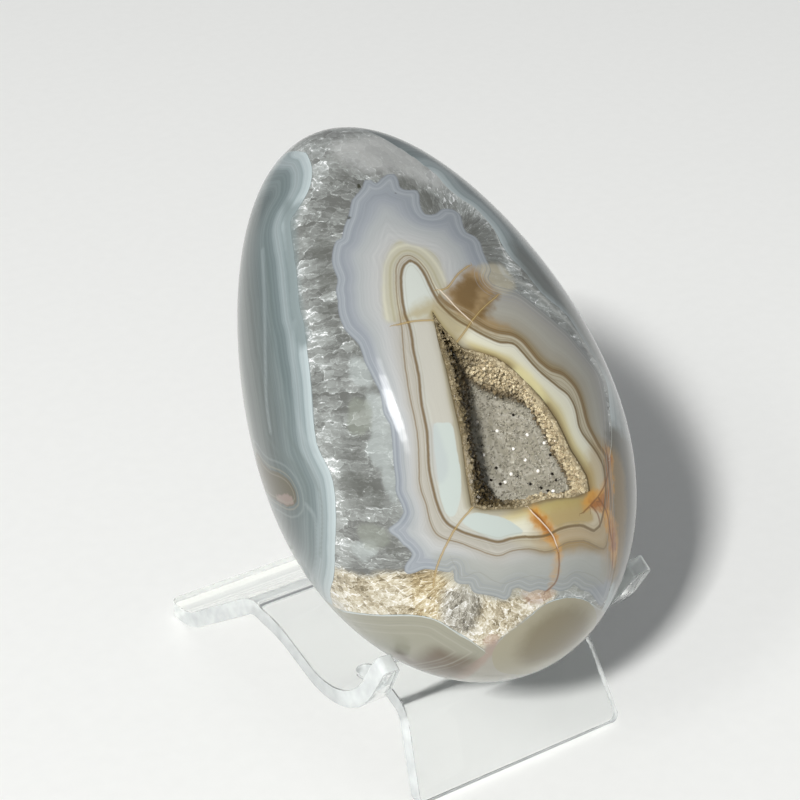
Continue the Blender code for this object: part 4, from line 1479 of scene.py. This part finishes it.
# The olive wall is a shaded copy of the golden one: its darkness is painted shade on the left wall, away
# from the lamp.
SHADED_OLIVE_WALL = ((0.0, "#2b2314"), (0.35, "#463b25"), (0.65, "#574b33"), (0.9, "#6d6145"), (1.0, "#948765"))
LIT_GOLDEN_WALL = ((0.0, "#7e6d52"), (0.35, "#a59678"), (0.65, "#bfb191"), (0.9, "#d8ccae"), (1.0, "#fdf6e6"))
RIM_COLOURS = ((0.0, "#54492f"), (0.5, "#7d7157"), (1.0, "#b0a488"))
SUGAR_SIZE = 0.5
WALL_NOISE_SIZE = 4.0
SHADE_SHARE = 0.6
WALL_FOOT = 0.12
# Below this rise the walls are darkened with painted shade.
FOOT_SHADE_TOP = 0.33
RIM_FOOT = 0.97


def druzy_quartz():
    material, tree, skin, where = new_finish("druzy_quartz")
    rise, lit_side, tint, shade = [add(tree, "Attribute", attribute_name=name).outputs["Fac"]
                                 for name in ("rise", "lit_side", "tint", "shade")]
    sugar = add(tree, "TexNoise", {"Vector": where, "Scale": per_mm(SUGAR_SIZE), "Detail": 3.0})
    wall_noise = add(tree, "TexNoise", {"Vector": where, "Scale": per_mm(WALL_NOISE_SIZE), "Detail": 2.0})
    level = add(tree, "Mix", {"Factor": SHADE_SHARE, 2: sugar, 3: shade})
    back, olive, golden, rim = [set_ramp(add(tree, "ValToRGB", (level,)), stops)
                                for stops in (BACK_COLOURS, SHADED_OLIVE_WALL, LIT_GOLDEN_WALL, RIM_COLOURS)]
    # Painted shade: the left wall takes the dark olive, the right wall the lit gold.
    wall = lay(tree, olive, golden, shaken(tree, lit_side, wall_noise, 0.2), 0.35)
    loose_rise = shaken(tree, rise, wall_noise, 0.1)
    foot_shade = add(tree, "Math", (FOOT_SHADE_TOP, loose_rise), operation="SUBTRACT")
    edge = add(tree, "Math", (rise, RIM_FOOT), operation="SUBTRACT")
    above = add(tree, "Math", (loose_rise, WALL_FOOT), operation="SUBTRACT")
    # Painted shade: the foot of the walls, low in the hollow, is darkened in a dark brown.
    wall = lay(tree, wall, "#3f311c", foot_shade, 0.12, 0.8)
    wall = lay(tree, wall, rim, edge, 0.02, 0.5)
    colour = lay(tree, back, wall, above, 0.1)
    bright = add(tree, "Math", (tint, 0.5), operation="SUBTRACT")
    dark = add(tree, "Math", (-0.5, tint), operation="SUBTRACT")
    # Near-white on the bright crystals is partly a painted glint; near-black marks the goethite grains.
    colour = lay(tree, lay(tree, colour, "#fbf7f0", bright, 0.1), "#1c1712", dark, 0.1)
    gloss = add(tree, "MapRange", (shade, 0.0, 1.0, 0.08, 0.3))
    feed(skin, {"Base Color": colour, "Roughness": gloss, "IOR": AGATE_INDEX})
    return material


# %% [markdown]
# ## Clear acrylic
# The stand is cast acrylic, PMMA, 3 mm thick, sawn or laser-cut to shape and bent over a hot wire. Its index
# is 1.49. Faces keep the mirror finish of the casting, so they are nearly invisible, while the cut edges
# are slightly frosted and gather light from the whole sheet; their pale colour is partly that frost and
# partly painted glow. Handling leaves hairlines, which show as slight patches of haze.

# %% Clear acrylic
ACRYLIC_INDEX = 1.49
HAZE_SIZE = 12.0
WAVE_SIZE = 9.0
WAVE_HEIGHT = 0.08
CUT_GRAIN = 2.5


def clear_acrylic():
    material, tree, skin, where = new_finish("clear_acrylic")
    haze = add(tree, "TexNoise", {"Vector": where, "Scale": per_mm(HAZE_SIZE), "Detail": 4.0})
    gloss = add(tree, "MapRange", (haze, 0.4, 0.8, 0.0, 0.06))
    wave = add(tree, "TexNoise", {"Vector": where, "Scale": per_mm(WAVE_SIZE), "Detail": 1.0})
    bump = add(tree, "Bump", {"Strength": 0.12, "Distance": WAVE_HEIGHT * MM, "Height": wave})
    tint = set_ramp(add(tree, "ValToRGB", (haze,)), ((0.0, "#fcfdfc"), (1.0, "#f8faf9")))
    feed(skin, {"Base Color": tint, "Roughness": gloss, "Normal": bump, "IOR": ACRYLIC_INDEX,
                "Transmission Weight": 1.0})
    return material


def cut_acrylic():
    material, tree, skin, where = new_finish("cut_acrylic_edge")
    lines = add(tree, "TexNoise", {"Vector": where, "Scale": per_mm(CUT_GRAIN), "Detail": 3.0})
    gloss = add(tree, "MapRange", (lines, 0.3, 0.7, 0.08, 0.22))
    # The pale colour of the cut is partly frost and partly painted glow of light gathered along the sheet.
    glow = set_ramp(add(tree, "ValToRGB", (lines,)), ((0.3, "#d9dddc"), (0.7, "#f3f6f5")))
    feed(skin, {"Base Color": glow, "Roughness": gloss, "IOR": ACRYLIC_INDEX, "Transmission Weight": 0.55})
    return material


# %% Finishes on the pieces, and the pieces into the world
POCKET_EDGE = radians(40)
SHEET_TURNS = 32

for item in (body, crust):
    item.data.transform(EGG_TO_WORLD)
body.data.set_sharp_from_angle(angle=POCKET_EDGE)
for item, *finishes in ((body, agate), (crust, druzy_quartz()), (stand, clear_acrylic(), cut_acrylic())):
    for finish in finishes:
        item.data.materials.append(finish)
    print(item.name, "is", [finish.name for finish in finishes])

# Light really passes through the clear sheet; without this the renderer would darken the floor under it
stand.visible_shadow = False
# Light that runs along inside the sheet turns back at its faces many times before it leaves
paths = bpy.context.scene.cycles
paths.glossy_bounces = SHEET_TURNS
paths.transmission_bounces = SHEET_TURNS
paths.max_bounces = SHEET_TURNS

# %% [markdown]
# ## Floor and light
# The egg stands on a plain pale surface in a bright room. One lamp high on the left throws the soft shadow
# to the right, and the long bright streak on the stone is the mirror image of a narrow light near it. The
# sky is brighter near the horizon, which gives the acrylic and the stone's edges something pale to reflect.

# %% Floor
FLOOR_SIZE = 6.0
GRAIN_SIZE = 3.0


def white_board():
    material, tree, skin, where = new_finish("matt_white_board")
    grain = add(tree, "TexNoise", {"Vector": where, "Scale": per_mm(GRAIN_SIZE)})
    colour = set_ramp(add(tree, "ValToRGB", (grain,)), ((0.0, "#efefec"), (1.0, "#f3f3f0")))
    feed(skin, {"Base Color": colour, "Roughness": 0.6})
    return material


bpy.ops.mesh.primitive_plane_add(size=FLOOR_SIZE)
floor = bpy.context.object
floor.name = "floor"
floor.data.materials.append(white_board())

# %% Sky
HORIZON_LIGHT = 0.36
ZENITH_LIGHT = 0.25

world = bpy.data.worlds.new("studio")
bpy.context.scene.world = world
world.use_nodes = True
sky = world.node_tree
height = add(sky, "SeparateXYZ", (add(sky, "TexCoord"),)).outputs["Z"]
strength = add(sky, "MapRange", (height, 0.0, 0.8, HORIZON_LIGHT, ZENITH_LIGHT))
feed(sky.nodes["Background"], {"Color": linear("#f4f7fa"), "Strength": strength})

# %% [markdown]
# Every lamp is an oblong that faces the middle of the egg. The sheet hides none of them from the floor, so
# none may shine through it a second time. The streak is a row of short lamps along an arc, widest in its
# middle. The glitter lamp reaches only the crust, so the polished stone shows no second highlight. A weak
# lamp behind lights only the stone and its stand, and leaves the floor's shadow as it is.

# %% Lamps
EGG_MIDDLE = Vector((0, 0, 0.056))
STREAK_ARC = [Vector(way) for way in (
    (-0.593, -0.007, 0.805), (-0.675, -0.131, 0.726), (-0.725, -0.238, 0.646), (-0.752, -0.355, 0.555),
    (-0.786, -0.438, 0.436))]
STREAK_DISTANCE = 0.7
STREAK_PARTS = 9
STREAK_WIDTH = 0.07
STREAK_POWER = 0.2
STREAK_ENDS = 0.3
STREAK_OVERLAP = 1.05


def lamp(name, direction, distance, size, power, unseen=(), reaches=()):
    """A lamp that some kinds of ray may not see, and that may reach only some pieces."""
    item = into_scene(name, bpy.data.lights.new(name, "AREA"))
    item.data.shape = "RECTANGLE"
    item.data.size, item.data.size_y = size
    item.data.energy = power
    direction = Vector(direction).normalized()
    item.location = EGG_MIDDLE + direction * distance
    item.rotation_euler = direction.to_track_quat("Z", "Y").to_euler()
    for rays in ("transmission", *unseen):
        setattr(item, "visible_" + rays, False)
    if reaches:
        item.light_linking.receiver_collection = bpy.data.collections.new(name + "_reaches")
        for piece in reaches:
            item.light_linking.receiver_collection.objects.link(piece)
    return item


def arc_place(share):
    """A place on the arc of the streak, for a share from 0 to 1 of its length."""
    step = share * (len(STREAK_ARC) - 1)
    first = min(int(step), len(STREAK_ARC) - 2)
    return STREAK_ARC[first].lerp(STREAK_ARC[first + 1], step - first).normalized() * STREAK_DISTANCE


lamp("key", (-0.645, -0.47, 0.60), distance=5.0, size=(0.45, 0.45), power=290.0, unseen=("glossy",))
for part in range(STREAK_PARTS):
    start, end = arc_place(part / STREAK_PARTS), arc_place((part + 1) / STREAK_PARTS)
    swell = sin(pi * (part + 0.5) / STREAK_PARTS) ** 1.5
    width = STREAK_WIDTH * (STREAK_ENDS + (1 - STREAK_ENDS) * swell)
    piece = lamp("streak_" + str(part), start + end, STREAK_DISTANCE,
                 (width, (end - start).length * STREAK_OVERLAP), STREAK_POWER * swell ** 2)
    face = (start + end).normalized()
    across = (end - start).cross(face).normalized()
    piece.rotation_euler = Matrix((across, face.cross(across), face)).transposed().to_euler()
lamp("glitter", (-0.5, -0.7, 0.5), distance=1.2, size=(0.5, 0.5), power=3.0, unseen=("diffuse",),
     reaches=(crust,))
lamp("fill", (0.25, 1.0, 0.45), distance=1.6, size=(1.0, 1.0), power=14.0, unseen=("glossy",),
     reaches=(body, crust, stand))
bpy.context.scene.view_settings.view_transform = "Standard"

# %% [markdown]
# ## Handing over
# Each fine piece rides on the fixed body of the model and stands in for the plain solid, which is hidden.

# %% Handing over
for item, node, slot in ((body, "egg", "polished_agate"), (crust, "cavity_crystals", "druzy_quartz"),
                         (stand, "stand", "clear_acrylic")):
    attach(item, "root")
    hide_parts(node)
    item.data.calc_loop_triangles()
    print(item.name, len(item.data.loop_triangles), "triangles")
